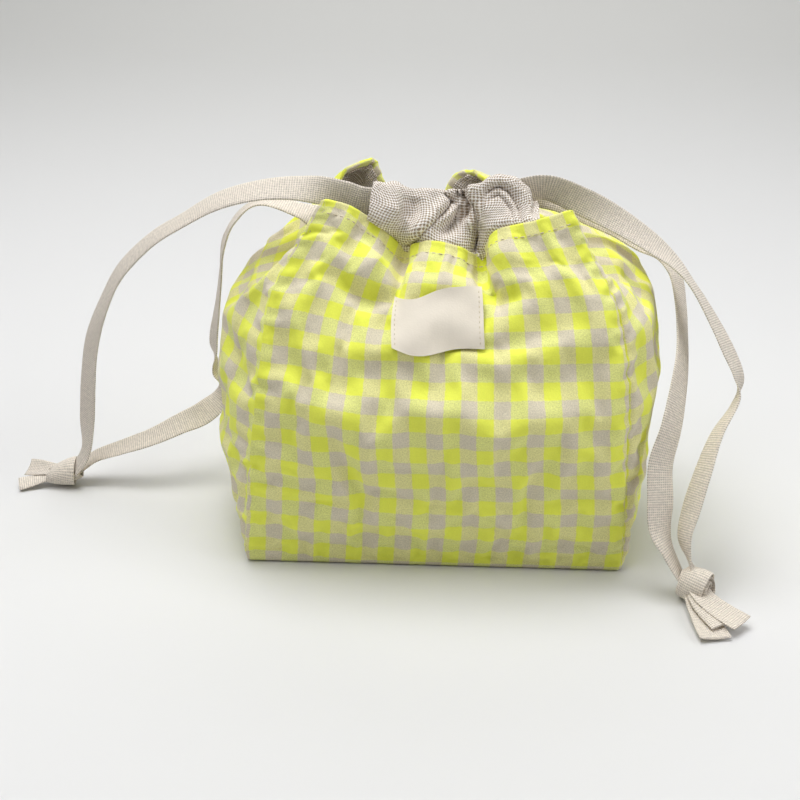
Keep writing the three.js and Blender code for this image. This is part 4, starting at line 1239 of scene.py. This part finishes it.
# Folds of the front casing as lines of (x, z) in mm, each with its half width and its height in mm
CASING_FOLDS = (
    (((-15, 211), (-15, 208), (-15.5, 204), (-19, 198)), 4.5, -5.5),
    (((-25.7, 217), (-26, 211.7), (-27.7, 207.2), (-30, 202.5)), 5.0, 2.4),
    (((4.2, 208.6), (-0.6, 204), (-6, 199.9), (-11.6, 193.9), (-18.2, 186.5)), 3.2, 4.2),
    (((-11.6, 188.5), (-3.3, 195.7), (3.7, 198.9), (10.4, 204.5), (10.4, 208.6)), 3.0, 3.0),
    (((0, 192.2), (6.8, 194.5), (13.3, 200.7), (14.2, 204.2), (11.9, 208.9)), 3.4, -6.0),
    (((14.2, 210.1), (17.3, 206.1), (18.5, 199.2), (16.2, 191.3)), 3.0, 2.4),
    (((25.9, 209.6), (27.3, 202.4), (25.8, 191.9)), 3.5, 2.2),
    (
        ((24.8, 215.4), (28.1, 218.5), (33.5, 219.8), (41.3, 217.4), (47.2, 212), (49, 206.6), (48.2, 202.4)),
        3.2, 2.2,
    ),
    (((27.6, 211.3), (32.6, 214.1), (37, 211.9), (41.8, 205.3)), 2.0, 1.0),
)
# Its puffs: centre, radii and height in mm
CASING_PUFFS = (((-26, 201), (12, 10), 6.5), ((7, 196), (11, 9), 2.5), ((35, 203), (12, 10), 2.5))
# Lines of (x, z) in mm along which two folds meet
FIRST_CREASE = ((-26, 174), (-17.7, 183.6), (-10.8, 192.6), (-3.9, 198.7), (2.7, 202.5), (7.9, 206.9))
SECOND_CREASE = (
    (17, 212), (18.1, 209), (20.1, 206.3), (21.4, 201.8), (23, 195.9), (23, 189), (22.5, 179.1), (22, 168),
)
TUCK = ((13.5, 198), (14.2, 204.2), (11.9, 208.9), (10.5, 214))
MIDDLE_PINCH = ((2, 213), (3.7, 210.1), (6.3, 208), (8.4, 206), (10, 203))
MOUTH = (
    (24, 209), (25.6, 211.9), (29.5, 215), (33.5, 216.2), (38.6, 213.6), (42.9, 208.3), (45.6, 203.4),
    (46, 198),
)
INNER_MOUTH = ((28, 207.5), (29.2, 209.9), (33, 212), (36.5, 209), (40.7, 203.5), (42, 199))
# Grooves along these lines, from broad to sharp, each with its radius and depth in mm
CASING_GROOVES = (
    (FIRST_CREASE, 7.0, 5.0), (FIRST_CREASE, 2.6, 5.0), (SECOND_CREASE, 6.0, 5.0), (SECOND_CREASE, 2.4, 6.0),
    (TUCK, 4.0, 4.0), (TUCK, 1.8, 3.5), (MIDDLE_PINCH, 3.0, 5.5), (MOUTH, 4.0, 4.2), (INNER_MOUTH, 3.0, 3.0),
)
# Columns along a casing, points between two stops of its section, and how often it is softened for the dots
CASING_COLUMNS = 220
CASING_STEPS = 15
DOT_PASSES = 60
# The row of a casing, low on its face, whose slant its cloth follows
FACE_ROW = 30


def front_gathers(x, z):
    """Gathers of the front casing: mm out of its face, and mm across and up where one fold laps another."""
    first = fold_over(x, z, FIRST_CREASE, 6, 1.4, 3.0)
    second = fold_over(x, z, SECOND_CREASE, 6, 1.4, 2.2)
    h, dx, dz = (a + b for a, b in zip(first, second))
    h += sum(crease(x, z, *fold) for fold in CASING_FOLDS)
    h += sum(groove(x, z, *line) for line in CASING_GROOVES)
    h += sum(puff(x, z, *swelling) for swelling in CASING_PUFFS)
    # The left end spreads over its tape
    dx -= 0.22 * np.clip(220 - z, 0, 30) * np.clip(-(x + 26) / 12, 0, 1)
    return h, dx, dz


def back_gathers(x, z):
    """Even gathers of the back casing, in mm out of its face, without any lap."""
    h = 1.6 * np.sin(x * 2 * math.pi / 15 + (z - 190) * 0.12)
    h += 0.8 * np.sin(x * 2 * math.pi / 8.5 - (z - 190) * 0.2)
    return h, 0.0, 0.0


def casing_section(rim, crest, lean, roof, away, deep):
    """Points round a casing at one place along it, in mm, from inside the rim over its top and down."""
    low, height = rim[2], crest - rim[2]
    foot = rim[1] + 1.6 * away
    rake = lean - foot
    behind = rim[1] + (deep + 1) * away
    points = (
        (rim[1] + 2.4 * away, low - 6),
        (foot, low + 0.5),
        (foot + (0.05 + 0.4 * roof) * rake - 1.2 * away, low + 0.3 * height),
        (foot + (0.3 + 0.44 * roof) * rake - 1.4 * away, low + 0.6 * height),
        (foot + (0.66 + 0.26 * roof) * rake - 0.8 * away, low + 0.88 * height),
        (lean, crest),
        (lean + 0.5 * deep * away, crest - 1.6),
        (lean + deep * away, crest - 7),
        (max(lean * away, foot * away) * away + deep * away, low + 0.4 * height),
        (behind, low - 1),
        (behind, low - 6),
    )
    return [(rim[0], y, z) for y, z in points]


def casing_cloth(sizes, wall, shares, crest, away, deep, gathers):
    """Points of a gathered casing between two shares of a rim, with its cloth coordinates, in metres."""
    rim = rim_line(sizes, wall)
    xs, *tops = np.array(crest, float).T
    columns = []
    for s in np.linspace(*shares, CASING_COLUMNS):
        edge = rim.at(s) / MM
        at_x = [np.interp(edge[0], xs, top) for top in tops]
        columns.append(smooth_line(casing_section(edge, *at_x, away, deep), CASING_STEPS))
    grid = np.array(columns)
    run = run_along(grid)
    along = np.linspace(0, 150, len(grid))[:, None] * np.ones(run.shape)
    h, dx, dz = gathers(grid[..., 0], grid[..., 2])
    free = np.clip((run - 5.5) / 3, 0, 1) * np.clip((run[:, -1:] - run) / 22 - 0.4, 0, 1)
    h = h * free + 0.5 * rumple(along, run, 14, 18, 2.0) + 0.12 * rumple(along, run, 6, 9, 5.0)
    grid = grid + facing(grid) * h[..., None]
    grid[..., 0] += dx * free
    grid[..., 2] += dz * free
    # Cloth coordinates are measured over the softened folds, so that the dots keep their size
    soft = softened(grid, DOT_PASSES)
    run = run_along(soft)
    up = unit(np.gradient(soft, axis=1)[:-1])
    step = np.diff(soft, axis=0)
    slant = (step * up).sum(2)
    along[1:] = np.cumsum(np.linalg.norm(step - up * slant[..., None], axis=2), axis=0)
    run[1:] += np.cumsum(slant[:, FACE_ROW])[:, None]
    return grid * MM, np.stack([along - along[len(along) // 2], run], -1) * MM


class BAG_OT_casings(Operator):
    """Gathers the two casings that stand on the rim"""

    bl_idname = "bag.casings"
    bl_label = "Casings"

    def execute(self, context):
        sizes = context.scene.bag_sizes
        # Each casing: its stretch of the rim as shares, its crest, which way is inward, and its depth in mm
        for wall, shares, crest, away, deep, gathers in (
            ("front", (0.19, 0.875), FRONT_CREST, 1, 13, front_gathers),
            ("back", (0.25, 0.75), BACK_CREST, -1, 7, back_gathers),
        ):
            grid, uv = casing_cloth(sizes, wall, shares, crest, away, deep, gathers)
            piece = put_sheet(f"{wall}_casing_cloth", grid, uv, "dotted_linen", sizes.lining_cloth)
            dress(piece, "bag", f"{wall}_casing")
        return {"FINISHED"}


# One stitch from end to end: shares of its length, and its rise and fatness as shares of the thread's radius
STITCH = ((0, -0.5, 0.5), (0.2, 0.35, 1), (0.5, 0.6, 1.1), (0.8, 0.35, 1), (1, -0.5, 0.5))
STITCH_SIDES = 6


def put_stitches(name, rows, length, gap, radius):
    """Short raised stitches along lines on the cloth; each row holds points and normals."""
    verts, faces = [], []
    for points, normals in rows:
        run = run_along(points)
        for start in np.arange(gap, run[-1] - length, length + gap):
            faces += tube_faces(numbered(len(STITCH), STITCH_SIDES) + len(verts))
            for share, rise, fat in STITCH:
                where = start + share * length
                p, n = read_line(points, run, where), read_line(normals, run, where)
                side = np.cross(unit(read_line(points, run, where + 1e-4) - p), n)
                for angle in np.linspace(0, 2 * math.pi, STITCH_SIDES, endpoint=False):
                    spoke = side * math.cos(angle) + n * math.sin(angle)
                    verts.append(p + n * radius * rise + spoke * radius * fat)
    made = put(name, verts, faces, np.zeros((len(verts), 2)), "cotton_thread")
    pick([made])
    bpy.ops.object.mode_set(mode="EDIT")
    bpy.ops.mesh.select_all(action="SELECT")
    bpy.ops.mesh.normals_make_consistent(inside=False)
    bpy.ops.object.mode_set(mode="OBJECT")
    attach(made, "bag")


# Lower and upper edge of the label as shares across and up the front wall
LABEL_FOOT = (
    (0.357, 0.63), (0.382, 0.621), (0.408, 0.613), (0.437, 0.611), (0.462, 0.617), (0.492, 0.628),
    (0.518, 0.637), (0.556, 0.643), (0.61, 0.642),
)
LABEL_TOP = (
    (0.353, 0.781), (0.386, 0.764), (0.412, 0.761), (0.437, 0.77), (0.463, 0.79), (0.491, 0.805),
    (0.524, 0.811), (0.559, 0.814), (0.604, 0.822),
)
# The label in metres: its cut size and its height over the cloth, then how often it is softened
LABEL_WIDTH = 0.05
LABEL_HEIGHT = 0.035
LABEL_GAP = 0.0006
LABEL_PASSES = 45
# Its two columns of stitches, and the gap between stitches and the radius of the thread in metres
LABEL_SEWN = (2, 46)
LABEL_STITCH_GAP = 0.0014
LABEL_THREAD = 0.00022


class BAG_OT_label(Operator):
    """Sews the bare label to the front wall"""

    bl_idname = "bag.label"
    bl_label = "Label"

    def execute(self, context):
        sizes = context.scene.bag_sizes
        e, t = np.meshgrid(np.linspace(0, 1, 49), np.linspace(0, 1, 33), indexing="ij")
        foot, top = (Line([(s, v, 0) for s, v in edge]).at(e) for edge in (LABEL_FOOT, LABEL_TOP))
        place = foot + (top - foot) * t[..., None]
        points, normal = on_wall(sizes, "front", place[..., 0], place[..., 1])
        grid = softened(points, LABEL_PASSES)
        sunk = ((points - grid) * normal).sum(2).max()
        grid = grid + facing(grid) * (0.6 * sunk + sizes.label_thickness + LABEL_GAP)
        uv = np.stack([e * LABEL_WIDTH, t * LABEL_HEIGHT], -1)
        piece = put_sheet("label_patch", grid, uv, "coated_faux_leather", sizes.label_thickness)
        dress(piece, "bag", "label")
        n = facing(grid)
        rows = [(grid[column, 1:-1], n[column, 1:-1]) for column in LABEL_SEWN]
        put_stitches("label_stitches", rows, 0.6 * sizes.stitch_length, LABEL_STITCH_GAP, LABEL_THREAD)
        return {"FINISHED"}


# Columns at each end of a wall without topstitch, how often its line is smoothed,
# and the gap between stitches and the radius of the thread in metres
HEM_SKIP = 5
HEM_PASSES = 3
HEM_STITCH_GAP = 0.0012
HEM_THREAD = 0.0003


class BAG_OT_topstitch(Operator):
    """Runs the topstitch round the hem"""

    bl_idname = "bag.topstitch"
    bl_label = "Topstitch"

    def execute(self, context):
        sizes = context.scene.bag_sizes
        rows = []
        for wall in ("front", "back"):
            grid = wall_shape(sizes, wall).points
            down = np.linalg.norm(np.diff(grid, axis=1), axis=2)[:, ::-1].cumsum(axis=1)
            i = np.arange(HEM_SKIP, len(grid) - HEM_SKIP)
            j = ROWS - 2 - np.array([np.searchsorted(down[k], sizes.hem) for k in i])
            points = grid[i, j]
            for _ in range(HEM_PASSES):
                points[1:-1] = (points[:-2] + points[1:-1] + points[2:]) / 3
            rows.append((points, facing(grid)[i, j]))
        put_stitches("hem_stitches", rows, sizes.stitch_length, HEM_STITCH_GAP, HEM_THREAD)
        return {"FINISHED"}


class BAG_PT_panel(Panel):
    """Lists the steps that build the bag"""

    bl_idname = "BAG_PT_panel"
    bl_label = "Project Bag"
    bl_space_type = "VIEW_3D"
    bl_region_type = "UI"
    bl_category = "Project Bag"

    def draw(self, context):
        layout = self.layout
        for group in (context.scene.bag_sizes, context.scene.bag_colours):
            for key in group.__annotations__:
                layout.prop(group, key)
        for step in STEPS:
            layout.operator(step.bl_idname)


STEPS = (
    BAG_OT_stage,
    BAG_OT_knots,
    BAG_OT_drawstrings,
    BAG_OT_outer,
    BAG_OT_lining,
    BAG_OT_casings,
    BAG_OT_label,
    BAG_OT_topstitch,
)
CLASSES = (BagSizes, BagColours, *STEPS, BAG_PT_panel)


def register():
    for cls in CLASSES:
        bpy.utils.register_class(cls)
    bpy.types.Scene.bag_sizes = PointerProperty(type=BagSizes)
    bpy.types.Scene.bag_colours = PointerProperty(type=BagColours)


def unregister():
    del bpy.types.Scene.bag_colours
    del bpy.types.Scene.bag_sizes
    for cls in reversed(CLASSES):
        bpy.utils.unregister_class(cls)


def main():
    register()
    bpy.ops.object.select_all(action="DESELECT")
    bpy.ops.bag.stage()
    bpy.ops.bag.knots()
    bpy.ops.bag.drawstrings()
    bpy.ops.bag.outer()
    bpy.ops.bag.lining()
    bpy.ops.bag.casings()
    bpy.ops.bag.label()
    bpy.ops.bag.topstitch()


if __name__ == "__main__":
    main()
